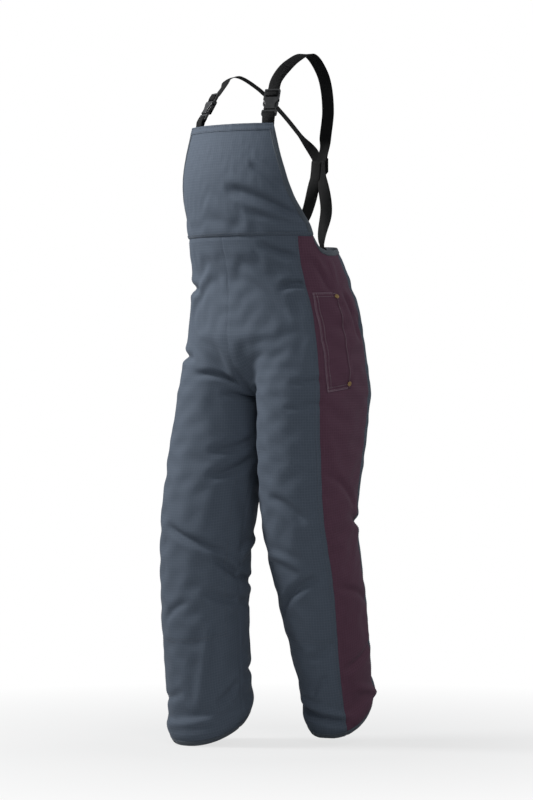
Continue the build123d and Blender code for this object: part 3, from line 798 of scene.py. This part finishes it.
SLATE = ripstop_cloth("slate_ripstop", (0.090, 0.113, 0.148), (0.064, 0.081, 0.108))
MAROON = ripstop_cloth("maroon_ripstop", (0.108, 0.045, 0.074), (0.078, 0.032, 0.053))
LINING = plain_cloth("lining", (0.050, 0.058, 0.072))
PAD_COVER = plain_cloth("saw_pad_cover", (0.040, 0.046, 0.056), 0.95)
EDGE_TAPE = woven_tape("edge_tape", (0.084, 0.101, 0.122), 0.0012, 0.8, 0.2)
WEBBING = woven_tape("black_webbing", (0.0045, 0.0045, 0.005), 0.0016, 0.75, 0.0)
PIPING = woven_tape("pocket_piping", (0.200, 0.125, 0.165), 0.0010, 0.8, 0.1)
ELASTIC = woven_tape("black_elastic", (0.010, 0.010, 0.011), 0.0010, 0.7, 0.03)
THREAD = plain_cloth("slate_thread", (0.060, 0.072, 0.092), 0.6)
PALE_THREAD = plain_cloth("pale_thread", (0.30, 0.25, 0.27), 0.6)
BLACK_THREAD = plain_cloth("black_thread", (0.030, 0.030, 0.032), 0.5)
PLASTIC = moulded_plastic("black_acetal")
BRASS = aged_brass("aged_brass")

# ---- trousers; their rows and columns are those of the refined grid ----
FRONT_SEAM = 2 * FRONT_COLUMNS
BACK_SEAM = 2 * (FRONT_COLUMNS + SIDE_COLUMNS)
LAST_COLUMN = 2 * COLUMNS
EDGE_COLUMN = 2 * BIB_COLUMN  # the armhole tape starts here, at the foot of the bib's edge
FORK = slice(0, 2 * FORK_ROW + 1)  # rows down to the crotch
CUT_ROW = 2 * (FORK_ROW + 22)  # mid thigh, where the upper pieces end
HALVES = {"upper": slice(0, CUT_ROW + 1), "lower": slice(CUT_ROW, 2 * ROWS + 1)}
PANELS = {
    "front": slice(0, FRONT_SEAM + 1),
    "side": slice(FRONT_SEAM, BACK_SEAM + 1),
    "back": slice(BACK_SEAM, LAST_COLUMN + 1),
}
SEAM_DEPTH = 1.1
SEAM_SWELL = 0.35
WAIST_SEAM_DEPTHS = np.array([[2.2], [0.88]])  # of the seam's row and the next
TOPSTITCH = (0.55, 2.1)  # columns from the seam
GATHER = 1.3
GATHER_ROWS = (2, 7, 14, 26)  # the gathers grow between the first two rows and fade between the last two
GATHER_COLUMNS = (2, 10)  # and grow between these columns from the side panel
GATHER_WAVES = ((1.0, 1.15, 0.0), (0.6, 1.9, 1.0))  # height, turn for each column, start
ELASTIC_ROWS = (7, 10.5, 14)
ELASTIC_THICK = 1.6
ELASTIC_GAP = 0.4
HIP_BAND = 0.105
HIP_SLANT = math.radians(45)
KNEE_START = 0.555
KNEE_END = 0.405
PAD = 4.5
PAD_GAP = 0.4
PAD_TOP_ROW = 14
PAD_FLOOR_Z = 60.0
PAD_INNER_SIDE = 18
PAD_OUTER_SIDE = 4
PAD_STITCH_Z = 222.0
PAD_STITCH_COLUMN = 9
TAPE = 0.9
TAPE_WIDTH = 11.0
TAPE_STITCH = 1.6  # from the inner edge of the tape


def leg_motion(side, half):
    """Bodies and band given for a piece: a slanted band from the hip to the crotch, or one across the knee.
    """
    thigh = f"{NAME[side]}_thigh"
    if half == "lower":
        return thigh, f"{NAME[side]}_shin", (0, 0, KNEE_START), (0, 0, KNEE_END)
    start = Vector((0, 0, FORK_Z * MM))
    step = Vector((side * math.sin(HIP_SLANT), 0, -math.cos(HIP_SLANT))) * HIP_BAND
    return "trunk", thigh, start, start + step


def press_seams(grid, facing):
    """Sinks the sewn seams a little into the cloth, with a slight swell beside them."""
    depth = np.zeros(grid.shape[:2])
    for seam in (FRONT_SEAM, BACK_SEAM):
        depth[:, seam] -= SEAM_DEPTH
        depth[:, [seam - 2, seam + 2]] += SEAM_SWELL
    depth[:, [0, -1]] -= SEAM_DEPTH
    depth[:2, : EDGE_COLUMN + 1] -= WAIST_SEAM_DEPTHS
    moved = grid + grid_normals(grid, facing) * depth[..., None]
    moved[FORK, [0], 0] = moved[FORK, [-1], 0] = 0.0
    return moved


def gather(grid, facing):
    """Draws the cloth at the back of the waist into upright gathers over the elastic."""
    rows, columns = np.arange(grid.shape[0]), np.arange(grid.shape[1])
    top, full, fading, end = GATHER_ROWS
    reach = smoothstep((rows - top) / (full - top)) * smoothstep((end - rows) / (end - fading))
    first, whole = GATHER_COLUMNS
    across = smoothstep((columns - BACK_SEAM - first) / (whole - first))
    wave = sum(height * np.sin(columns * turn + start) for height, turn, start in GATHER_WAVES)
    return grid + grid_normals(grid, facing) * (GATHER * reach[:, None] * (across * wave))[..., None]


def shared_normals(grids):
    """Normals of both halves, equal on either side of the seams that they share."""
    normals = {side: grid_normals(grids[side], FACING[side]) for side in SIDES}
    leg = slice(FORK.stop - 1, None)
    for end in (0, -1):
        middle = unit(normals[LEFT][FORK, end] + normals[RIGHT][FORK, end])
        middle[:, 0] = 0.0
        for side in SIDES:
            normals[side][FORK, end] = unit(middle)
    for side in SIDES:
        inseam = unit(normals[side][leg, 0] + normals[side][leg, -1])
        normals[side][leg, 0] = normals[side][leg, -1] = inseam
    return normals


def row_at(sheet, z):
    """Row of a trouser half whose front reaches a height."""
    return int(np.argmin(np.abs(sheet.grid[:, FRONT_SEAM // 2, 2] - z)))


def panel_piece(side, panel, half, sheet):
    """One cloth panel of a trouser half, in its part above or below mid thigh."""
    rows = HALVES[half]
    piece = Piece(f"{panel}_{half}_cloth", side)
    add_shell(piece, sheet.part(rows, PANELS[panel]), CLOTH / 2, (0, 1))
    if panel == "front":
        stitch(piece, sheet, [FRONT_SEAM - reach for reach in TOPSTITCH], rows, 2)
        if half == "lower":
            # the saw pad is sewn down the inner side of the shin and across it
            foot = row_at(sheet, PAD_STITCH_Z)
            across = slice(PAD_STITCH_COLUMN, FRONT_SEAM - 2)
            stitch(piece, sheet.turned(), (foot, foot + 1.5), across, 2)
            stitch(piece, sheet, [PAD_STITCH_COLUMN], slice(CUT_ROW, foot + 1), 2)
    if panel == "back":
        stitch(piece, sheet, [BACK_SEAM + reach for reach in TOPSTITCH], rows, 2)
        if half == "upper":
            stitch(piece, sheet.turned(), ELASTIC_ROWS, slice(BACK_SEAM + 3, LAST_COLUMN - 1), 2)
    cloth, slot = (MAROON, "side_cloth") if panel == "side" else (SLATE, "shell_cloth")
    nodes = [f"{panel}_{part}" for part in (("waist", "thigh") if half == "upper" else ("shin",))]
    piece.finish([cloth, LINING, THREAD], slot, leg_motion(side, half), *nodes)


def saw_pad_piece(side, half, sheet):
    """The layered saw pad hanging inside the front of the leg."""
    floor = row_at(sheet, PAD_FLOOR_Z + HEM_Z[side])
    rows, node = {
        "upper": (slice(PAD_TOP_ROW, CUT_ROW + 1), "saw_pad_thigh"),
        "lower": (slice(CUT_ROW, floor + 1), "saw_pad_shin"),
    }[half]
    columns = slice(PAD_INNER_SIDE, FRONT_SEAM - PAD_OUTER_SIDE + 1)
    piece = Piece(f"saw_pad_{half}", side)
    add_shell(piece, sheet.part(rows, columns, -(CLOTH / 2 + PAD_GAP + PAD / 2)), PAD / 2)
    piece.finish([PAD_COVER], "saw_protection", leg_motion(side, half), node)


def edge_tape(name, side, edge, ups, beside, motion, node, closed=False):
    """Tape folded over an edge of the cloth and stitched; beside is a line of the cloth further in."""
    inward = unit(beside - edge)
    cloth, width = CLOTH / 2, TAPE_WIDTH
    over = [
        (width, cloth), (width, cloth + TAPE * 0.7), (width - 1.2, cloth + TAPE),
        (width / 2, cloth + TAPE * 1.25), (1.0, cloth + TAPE), (-TAPE * 0.8, cloth * 0.6),
    ]
    profile = [(width, -cloth), *over, *((into, -up) for into, up in over[:0:-1])]
    piece = Piece(name, side)
    add_sweep(piece, edge, inward, ups, profile, 0, profile_uvs(edge, profile)[..., ::-1], closed)
    line = edge + inward * (TAPE_WIDTH - TAPE_STITCH) + ups * (cloth + TAPE)
    if closed:
        line, ups = np.concatenate([line, line[:1]]), np.concatenate([ups, ups[:1]])
    else:
        line, ups = line[1:-1], ups[1:-1]
    add_stitches(piece, line, ups, 1)
    piece.finish([EDGE_TAPE, THREAD], "binding_tape", motion, node)


def trouser_tapes(side, sheet):
    """Tape along the armhole to the centre of the back, and tape round the hem."""
    under_arm, whole = slice(EDGE_COLUMN, LAST_COLUMN + 1), slice(0, LAST_COLUMN)
    for name, row, beside, columns, body, closed in (
        ("armhole", 0, 3, under_arm, "trunk", False),
        ("hem", -1, -4, whole, f"{NAME[side]}_shin", True),
    ):
        edge, ups, inner = sheet.grid[row, columns], sheet.normals[row, columns], sheet.grid[beside, columns]
        edge_tape(f"{name}_tape", side, edge, ups, inner, (body,), f"{name}_binding", closed)


def waist_elastic(sheets):
    """Broad elastic inside the back of the waist, from one side seam to the other."""
    piece = Piece("gathered_elastic")
    rows = slice(ELASTIC_ROWS[0], ELASTIC_ROWS[-1] + 1)
    depth = CLOTH / 2 + ELASTIC_GAP + ELASTIC_THICK / 2
    for side in SIDES:
        band = sheets[side].part(rows, slice(BACK_SEAM + 2, LAST_COLUMN + 1), -depth)
        add_shell(piece, band, ELASTIC_THICK / 2)
    piece.finish([ELASTIC], "elastic", ("trunk",), "back_elastic")


# ---- bib ----
BIB_BEND = ("trunk", "bib", (0, 0, 1.056), (0, 0, 1.125))
FACING_ROWS = 28
FACING_COLUMNS = slice(5, -5)
FACING_DEPTH = 0.8
FOLDED_EDGE = 0.55  # half the thickness of the turned-in cloth at the foot and the top of the bib


def bib_cloth(sheet):
    """The bib with its cloth turned in along the waist seam and the top, both stitched twice."""
    piece = Piece("bib_cloth")
    add_shell(piece, sheet, CLOTH / 2, (0, 1))
    last = sheet.grid.shape[0] - 1
    for rows in (slice(0, 3), slice(last - 4, last + 1)):
        add_shell(piece, sheet.part(rows, ALL, CLOTH / 2 + FOLDED_EDGE), FOLDED_EDGE)
    stitch_rows = (0.7, 1.6, last - 0.9, last - 3.4)
    stitch(piece, sheet.turned(), stitch_rows, slice(1, -1), 2, CLOTH / 2 + 2 * FOLDED_EDGE)
    piece.finish([SLATE, LINING, THREAD], "shell_cloth", BIB_BEND, "bib_panel")


def bib_tapes(sheet):
    """Edge tape up both sides of the bib."""
    for side, column, beside in ((LEFT, -1, -4), (RIGHT, 0, 3)):
        edge, ups, inner = sheet.grid[:, column], sheet.normals[:, column], sheet.grid[:, beside]
        edge_tape("bib_tape", side, edge, ups, inner, BIB_BEND, "bib_binding")


def bib_facing(sheet):
    """Plain facing sewn inside the top of the bib."""
    piece = Piece("bib_facing_cloth")
    inside = sheet.part(slice(-FACING_ROWS, -1), FACING_COLUMNS, -(CLOTH / 2 + FACING_DEPTH))
    add_shell(piece, inside, FACING_DEPTH / 2)
    piece.finish([LINING], "facing_cloth", BIB_BEND, "bib_facing")


# ---- side pockets; places are (y, z) seen from the side ----
POCKET_CORNERS = np.array([[(-66, 937), (-14, 938)], [(-50, 734), (14, 744)]], float)
RIVETS = ((-21.0, 930.0), (4.0, 752.0))
POCKET_COLUMNS = 28
POCKET_ROWS = 90
POCKET_CLOTH = 1.3
POCKET_GAP = 0.25
POCKET_BULGE = 7.0
POCKET_CLOSED = 0.10  # share of its height over which the pocket rises from its sewn top and foot
POCKET_MOUTH = 5  # columns of doubled cloth at the open edge
PIPING_RING = circle(1.0, 8)
RIVET_LIFT = 1.56  # from the pocket's middle to the foot of a rivet
RIVET_PROFILE = [(1.4, 2.0), (2.6, 1.6), (3.4, 1.5), (3.9, 1.7), (4.6, 1.5), (4.9, 0.9), (4.9, -0.6)]
RIVET_TOP = 2.1
RIVET_FOOT = -0.8
RIVET_TURNS = 28


def hip_finder(side, sheet):
    """Finds the outer face of the hip at a (y, z) seen from the side."""
    patch = sheet.part(slice(0, CUT_ROW), slice(FRONT_SEAM - 14, BACK_SEAM + 14), CLOTH / 2).grid
    tree = BVHTree.FromPolygons(patch.reshape(-1, 3).tolist(), quads(numbered(patch), 1).tolist())
    outside = 400.0
    return lambda place: tree.ray_cast(Vector((side * outside, *place)), Vector((-side, 0, 0)))[0]


def pocket_sheet(side, find):
    """The pocket's cloth: sewn flat along three edges, bulging and wrinkled towards its open rear edge."""
    down, across = np.meshgrid(
        np.linspace(0, 1, POCKET_ROWS + 1), np.linspace(0, 1, POCKET_COLUMNS + 1), indexing="ij"
    )
    base = np.empty(down.shape + (3,))
    for spot in np.ndindex(down.shape):
        front, rear = POCKET_CORNERS[0] + (POCKET_CORNERS[1] - POCKET_CORNERS[0]) * down[spot]
        base[spot] = find(front + (rear - front) * across[spot])
    closed = smoothstep(down / POCKET_CLOSED) * smoothstep((1 - down) / POCKET_CLOSED)
    bulge = POCKET_BULGE * closed * smoothstep(across) * (0.75 + 0.25 * np.sin(down * 7.0 + 0.6))
    sewn = 0.35 * (1 - across) ** 2 * (1 + np.sin(down * 75.0 + across * 6.0))
    wrinkle = closed * (1.3 * across * np.sin(down * 22.0 - across * 5.0) + sewn)
    height = POCKET_CLOTH / 2 + POCKET_GAP + bulge + wrinkle
    surface = base + grid_normals(base, FACING[side]) * height[..., None]
    return Sheet(surface, grid_normals(surface, FACING[side]), cloth_uvs(surface, 0), FACING[side])


def add_piping(piece, line, ups):
    """Round cord sewn along an edge of the pocket."""
    add_sweep(piece, line, np.cross(unit(np.gradient(line, axis=0)), ups), ups, PIPING_RING, 2)


def side_pocket(side, sheet):
    """Slanted side pocket: doubled cloth at its mouth, stitches and piping along its sewn edges."""
    half_thick = POCKET_CLOTH / 2
    piece = Piece("pocket_cloth", side)
    add_shell(piece, sheet, half_thick)
    mouth = slice(POCKET_COLUMNS - POCKET_MOUTH, POCKET_COLUMNS + 1)
    add_shell(piece, sheet.part(ALL, mouth, POCKET_CLOTH * 0.75), POCKET_CLOTH / 3)
    inside = slice(1, -1)
    stitch(piece, sheet, (0.9, 3.6), inside, 1, half_thick)
    stitch(piece, sheet, [POCKET_COLUMNS - 4.2], inside, 1, half_thick + POCKET_CLOTH * 0.6)
    rows = (1.0, 3.6, POCKET_ROWS - 1.0, POCKET_ROWS - 3.6)
    stitch(piece, sheet.turned(), rows, slice(1, -POCKET_MOUTH - 1), 1, half_thick)
    sewn = slice(0, POCKET_COLUMNS - POCKET_MOUTH)
    for edge in ((0, sewn), (POCKET_ROWS, sewn), (ALL, 0)):
        add_piping(piece, sheet.grid[edge], sheet.normals[edge])
    piece.finish([MAROON, PALE_THREAD, PIPING], "side_cloth", leg_motion(side, "upper"), "side_pocket")


def pocket_rivets(side, sheet):
    """Domed rivets with a raised rim, at the ends of the pocket's open edge."""
    piece = Piece("rivets", side)
    number = 1 + np.arange(len(RIVET_PROFILE) * RIVET_TURNS).reshape(len(RIVET_PROFILE), RIVET_TURNS)
    number = np.concatenate([number, number[:, :1]], axis=1)
    last = int(number.max()) + 1
    faces = [[0, a, b] for a, b in zip(number[0].tolist(), number[0, 1:].tolist())]
    faces += quads(number, -1).tolist()
    faces += [[a, last, b] for a, b in zip(number[-1].tolist(), number[-1, 1:].tolist())]
    for place in RIVETS:
        gap = np.linalg.norm(sheet.grid[..., 1:] - place, axis=-1)
        spot = np.unravel_index(np.argmin(gap), gap.shape)
        up = unit(sheet.normals[spot])
        first = unit(np.cross(up, (0.0, 0.0, 1.0)))
        second = np.cross(up, first)
        foot = sheet.grid[spot] + up * RIVET_LIFT
        rings = [
            foot + up * lift + a * first + b * second
            for radius, lift in RIVET_PROFILE
            for a, b in circle(radius, RIVET_TURNS)
        ]
        piece.add([foot + up * RIVET_TOP, *rings, foot + up * RIVET_FOOT], faces, 0)
    piece.finish([BRASS], "rivet_brass", leg_motion(side, "upper"), "pocket_rivets")


# ---- buckles, straps and the cross patch ----
WEBBING_WIDTH = 25.0
WEBBING_THICK = 1.6
# Paths in the buckle's own plane, as (out of its face, up along the strap).
ANCHOR_PATH = [(-9.4, -30), (3.6, 0), (3.6, 12.4), (-3.6, 12.4), (-3.6, 1), (-12.2, -30)]
LADDER_PATH = [(-6.6, 24), (-6.4, 53.4), (3.8, 54.8), (3.8, 64.2), (-3.6, 65.6), (-5.0, 72)]
LADDER_EXIT = (-8, 95)
ARM_ROOT_UP = 21.6
SHOULDER = {
    LEFT: [(79, -31, 1419), (82, 18, 1438), (76, 72, 1405), (62, 110, 1330), (39, 130, 1277)],
    RIGHT: [(-83, -47, 1389), (-86, -12, 1399), (-75, 40, 1379), (-46, 88, 1327), (-20, 124, 1275)],
}
# The four strap ends lie flat in front of the patch, one on another.
SHOULDER_END = {
    LEFT: [(20, 147, 1243), (8, 151.4, 1219), (0, 151.4, 1202)],
    RIGHT: [(-6, 147, 1243), (4, 153.1, 1219), (10, 153.1, 1202)],
}
BACK_START = {
    LEFT: [(10, 149.3, 1226), (13, 148.5, 1200)],
    RIGHT: [(-1, 147.7, 1226), (-3, 147.0, 1200)],
}
BACK_EDGE = {LEFT: (67, 83, 1044), RIGHT: (-24, 92, 1044)}  # each strap leans over the edge of the back here
BACK_ANCHOR = {LEFT: (66, 88, 1022), RIGHT: (-26, 97, 1022)}
BACK_STRAP_BOW = (6.0, 8.0, 0.0)
BACK_STRAP_FREE = 1190.0  # below this a back strap twists
BACK_STRAP_TWIST = math.radians(-62)
STRAP_LIE = {LEFT: (0.80, 0.60, 0.0), RIGHT: (0.87, -0.50, 0.0)}  # which way the width of each strap lies
STRAP_TURN = 70.0  # length over which a strap turns from the buckle's width to that
STRAP_SEWN_FROM = 1284.0  # below this a shoulder strap turns flat to the patch
STRAP_SEWN_AT = 1244.0
STRAP_SLIDE_START = 72.0
STRAP_SLIDE_END = 130.0
STRAP_CUT = 136.0  # height over the buckle's foot where the lower length ends and the upper one starts
SHOULDER_BEND = ("bib", "trunk", (0, -0.035, 0), (0, 0.110, 0))
WAIST_CENTRE = np.array([0, -30, 1100.0])
PATCH_CENTRE = np.array([4.0, 155.0, 1217.0])
PATCH_OUTLINE = np.array([
    (-22, -14), (-22, 14), (-10, 25), (10, 25), (22, 14), (22, -14), (10, -25), (-10, -25),
], float)
PATCH_HALF_THICK = 1.0
PATCH_LEVELS = ((-1.0, 0.97), (-0.5, 1.0), (0.5, 1.0), (1.0, 0.97))  # share of that, size of the outline
PATCH_STITCHES = 0.84  # size of the line of stitches, as a share of the outline
PATCH_CROSS = 15.0


def joint(name):
    """A joint of the record, by its name."""
    return next(entry for entry in frame["joints"] if entry["name"] == name)


def vector(values):
    return np.array(list(values), float)


class Buckle:
    """Where a buckle stands: its foot and its three directions, taken from its joints."""

    def __init__(self, side):
        arms = [joint(f"{NAME[side]}_arm_{place}_squeeze") for place in ("outer", "inner")]
        self.up = unit(vector(joint(f"{NAME[side]}_buckle_release")["axis"]))
        self.out = unit(vector(arms[0]["axis"]))
        self.across = unit(np.cross(self.up, self.out))
        roots = sum(vector(arm["pos_m"]) for arm in arms) / (2 * MM)
        self.foot = roots - ARM_ROOT_UP * self.up

    def place(self, out, up):
        return self.foot + out * self.out + up * self.up


def rounded_path(points, radius=2.0, steps=5):
    """A polyline with its corners rounded by short curves."""
    result = [points[0]]
    for before, corner, after in zip(points, points[1:], points[2:]):
        into, away = before - corner, after - corner
        reach = min(radius, 0.45 * np.linalg.norm(into), 0.45 * np.linalg.norm(away))
        start, end = corner + unit(into) * reach, corner + unit(away) * reach
        for t in np.linspace(0, 1, steps):
            result.append(start * (1 - t) ** 2 + corner * 2 * t * (1 - t) + end * t**2)
    return np.array([*result, points[-1]])


def webbing_piece(name, side, path, across, motion, node):
    """Flat webbing along a path, with the direction of its width given at each point."""
    ahead = unit(np.gradient(path, axis=0))
    across = np.broadcast_to(across, path.shape)
    across = unit(across - ahead * np.sum(across * ahead, axis=1, keepdims=True))
    half, edge = WEBBING_WIDTH / 2, WEBBING_THICK / 2
    profile = [
        (-half + 0.5, -edge), (0.0, -edge * 0.85), (half - 0.5, -edge), (half, -edge * 0.4),
        (half, edge * 0.4), (half - 0.5, edge), (half - 2.2, edge * 0.8), (0.0, edge * 0.85),
        (-half + 2.2, edge * 0.8), (-half + 0.5, edge), (-half, edge * 0.4), (-half, -edge * 0.4),
    ]
    piece = Piece(name, side)
    add_sweep(piece, path, across, unit(np.cross(ahead, across)), profile, 0, profile_uvs(path, profile))
    piece.finish([WEBBING], "webbing", motion, node)


def strap_anchor(side, buckle):
    """Webbing sewn to the bib, looped through the bar of the plug."""
    path = rounded_path([buckle.place(*point) for point in ANCHOR_PATH])
    webbing_piece("anchor_webbing", side, path, buckle.across, ("bib",), "strap_anchor")


def strap_line(side, buckle):
    """Centre line and width direction of the shoulder strap, from the buckle's ladder to the cross patch."""
    ladder = rounded_path([buckle.place(*point) for point in LADDER_PATH])
    turns = [ladder[-1], buckle.place(*LADDER_EXIT), *SHOULDER[side], *SHOULDER_END[side]]
    path = np.concatenate([ladder, curve_through(turns, 120)[1:]])
    ahead = unit(np.gradient(path, axis=0))
    lie = vector(STRAP_LIE[side])
    flat = unit(lie - (ahead @ lie)[:, None] * ahead)
    flat *= 1 if flat[0] @ buckle.across > 0 else -1
    on_patch = unit(np.cross(ahead, (0.0, 1.0, 0.0)))
    on_patch *= 1 if flat[-1] @ on_patch[-1] > 0 else -1
    along = lengths_along(path)
    turned = smoothstep((along - along[len(ladder) - 1]) / STRAP_TURN)[:, None]
    sewn = smoothstep((STRAP_SEWN_FROM - path[:, 2]) / (STRAP_SEWN_FROM - STRAP_SEWN_AT))[:, None]
    return path, unit(unit(buckle.across * (1 - turned) + flat * turned) * (1 - sewn) + on_patch * sewn)


def shoulder_strap(side, buckle):
    """One strap in two pieces: one by the buckle, and one over the shoulder from bib to back."""
    path, across = strap_line(side, buckle)
    cut = int(np.argmax((path - buckle.foot) @ buckle.up > STRAP_CUT))
    start, end = (Vector(buckle.place(0, up) * MM) for up in (STRAP_SLIDE_START, STRAP_SLIDE_END))
    slide = (f"{NAME[side]}_buckle", "bib", start, end)
    webbing_piece("strap_lower", side, path[: cut + 1], across[: cut + 1], slide, "strap_front")
    webbing_piece("strap_upper", side, path[cut:], across[cut:], SHOULDER_BEND, "strap_back")


def back_strap(side):
    """Strap from the cross patch down to the top of the back, sewn inside the edge."""
    sewn, foot = (vector(place) for place in BACK_START[side])
    edge, anchor = vector(BACK_EDGE[side]), vector(BACK_ANCHOR[side])
    path = curve_through([sewn, foot, (foot + edge) / 2 + BACK_STRAP_BOW, edge, anchor], 50)
    outward = (path - WAIST_CENTRE) * (1, 1, 0)
    across = unit(np.cross(outward, unit(np.gradient(path, axis=0))))
    fallen = np.clip((BACK_STRAP_FREE - path[:, 2]) / (BACK_STRAP_FREE - edge[2]), 0, 1)
    twist = BACK_STRAP_TWIST * np.sin(fallen * math.pi)[:, None]
    across = unit(across * np.cos(twist) + unit(outward) * np.sin(twist))
    webbing_piece("back_webbing", side, path, across, ("trunk",), "back_strap")


def cross_patch():
    """Stiff patch that holds the crossed straps, with a box of stitches and a cross inside it."""
    piece = Piece("cross_patch")
    right, back, up = np.eye(3)
    sections = [
        PATCH_CENTRE + back * out * PATCH_HALF_THICK + size * (x * right + z * up)
        for out, size in PATCH_LEVELS
        for x, z in PATCH_OUTLINE
    ]
    piece.add(sections, tube_faces(len(PATCH_LEVELS), len(PATCH_OUTLINE)), 0)
    corners = PATCH_OUTLINE * PATCH_STITCHES
    lines = list(zip(corners, np.roll(corners, -1, axis=0)))
    lines += [(PATCH_CROSS * np.array(end), -PATCH_CROSS * np.array(end)) for end in ((-1, -1), (-1, 1))]
    for start, end in lines:
        x, z = np.linspace(start, end, 40).T
        line = PATCH_CENTRE + np.column_stack([x, np.full_like(x, PATCH_HALF_THICK), z])
        add_stitches(piece, line, np.broadcast_to(back, line.shape), 1)
    piece.finish([WEBBING, BLACK_THREAD], "webbing", ("trunk",), "strap_cross_patch")


def finish_buckle(side):
    """The moulded parts keep their shape and take the plastic."""
    for part in ("buckle_plug", "buckle_socket", "latch_arm_outer", "latch_arm_inner"):
        materials = frame["nodes"][f"{NAME[side]}_{part}"].data.materials
        materials.clear()
        materials.append(PLASTIC)


# ---- the garment ----
def make_garment():
    grids = build_cloth()
    for side in SIDES:
        grids[side] = gather(press_seams(grids[side], FACING[side]), FACING[side])
    bib = grids[BIB].copy()
    bib[0] = waist_seam(grids, EDGE_COLUMN)
    normals = shared_normals(grids)
    sheets = {
        side: Sheet(grids[side], normals[side], cloth_uvs(grids[side], FRONT_SEAM), FACING[side])
        for side in SIDES
    }
    bib_sheet = Sheet(bib, grid_normals(bib, 1), cloth_uvs(bib, bib.shape[1] // 2), 1)
    for side, sheet in sheets.items():
        for half in HALVES:
            for panel in PANELS:
                panel_piece(side, panel, half, sheet)
            saw_pad_piece(side, half, sheet)
        trouser_tapes(side, sheet)
        pocket = pocket_sheet(side, hip_finder(side, sheet))
        side_pocket(side, pocket)
        pocket_rivets(side, pocket)
        buckle = Buckle(side)
        finish_buckle(side)
        strap_anchor(side, buckle)
        shoulder_strap(side, buckle)
        back_strap(side)
    waist_elastic(sheets)
    bib_cloth(bib_sheet)
    bib_tapes(bib_sheet)
    bib_facing(bib_sheet)
    cross_patch()


# ---- studio; lengths are metres ----
VIEW_TURN = math.radians(40)
VIEW_DISTANCE = 7.0
VIEW_HEIGHT = 0.718
VIEW_SHIFT = -0.0116
LENS = 150.3
AMBIENT = 0.21
AMBIENT_COLOUR = (0.86, 0.93, 1.0)
WHITE = (1.0, 1.0, 1.0)
FLOOR_REACH = 6.0
FLOOR_DROP = 0.001
FLOOR_GREY = (0.5, 0.5, 0.5)
FLOOR_FADE = (0.35, 1.5, 0.72, 1.0)  # from this distance to that one, and the share of white at each
LIGHT_TARGET = Vector((0, 0, 0.75))
LIGHTS = (
    # name, place, power, size
    ("key", (-1.5, -1.35, 2.4), 72, 0.7),
    ("fill", (2.2, -1.7, 2.3), 20, 1.2),
    ("rim", (1.6, 2.2, 2.2), 16, 1.2),
)


def pale_floor():
    """Matte floor that keeps a soft shadow near the object and fades into the backdrop."""
    nodes = new_nodes("pale_floor")
    nodes.shade(Base_Color=FLOOR_GREY, Roughness=0.9)
    place = nodes.add("ShaderNodeNewGeometry").outputs["Position"]
    distance = nodes.add("ShaderNodeVectorMath", operation="LENGTH")
    nodes.feed(place, distance.inputs[0])
    fade = nodes.feed_all(nodes.add("ShaderNodeMapRange"), distance.outputs["Value"], *FLOOR_FADE)
    glow = nodes.add("ShaderNodeEmission").outputs[0]
    lit = nodes.tree.nodes["Principled BSDF"].outputs[0]
    return nodes.show_camera(lit, glow, fade, "Material Output")


def make_floor():
    mesh = bpy.data.meshes.new("floor")
    corners = [(x * FLOOR_REACH, y * FLOOR_REACH, 0) for x, y in ((-1, -1), (1, -1), (1, 1), (-1, 1))]
    mesh.from_pydata(corners, [], [(0, 1, 2, 3)])
    mesh.materials.append(pale_floor())
    floor = add_object("floor", mesh)
    floor.location.z = -FLOOR_DROP


def make_world():
    """A cool, dim sky that the camera sees as plain white."""
    world = bpy.data.worlds.new("studio")
    bpy.context.scene.world = world
    nodes = Nodes(world)
    sky = nodes.tree.nodes["Background"]
    nodes.feed_all(sky, AMBIENT_COLOUR, AMBIENT)
    backdrop = nodes.add("ShaderNodeBackground", Color=WHITE)
    nodes.show_camera(sky.outputs[0], backdrop.outputs[0], 1.0, "World Output")


def add_lights():
    for name, place, power, size in LIGHTS:
        light = bpy.data.lights.new(name, "AREA")
        light.energy = power
        light.size = size
        lamp = add_object(name, light)
        lamp.location = place
        lamp.rotation_euler = (LIGHT_TARGET - lamp.location).to_track_quat("-Z", "Y").to_euler()


def add_camera():
    """Camera level with the garment's middle, turned to the wearer's left."""
    lens = bpy.data.cameras.new("camera")
    lens.lens = LENS
    lens.sensor_width = 36
    camera = add_object("camera", lens)
    right = Vector((math.cos(VIEW_TURN), math.sin(VIEW_TURN), 0))
    toward = Vector((math.sin(VIEW_TURN), -math.cos(VIEW_TURN), 0))
    camera.location = toward * VIEW_DISTANCE + right * VIEW_SHIFT + Vector((0, 0, VIEW_HEIGHT))
    camera.rotation_euler = (math.pi / 2, 0, VIEW_TURN)
    bpy.context.scene.camera = camera


make_garment()
make_floor()
make_world()
add_lights()
add_camera()
bpy.context.scene.view_settings.view_transform = "Standard"
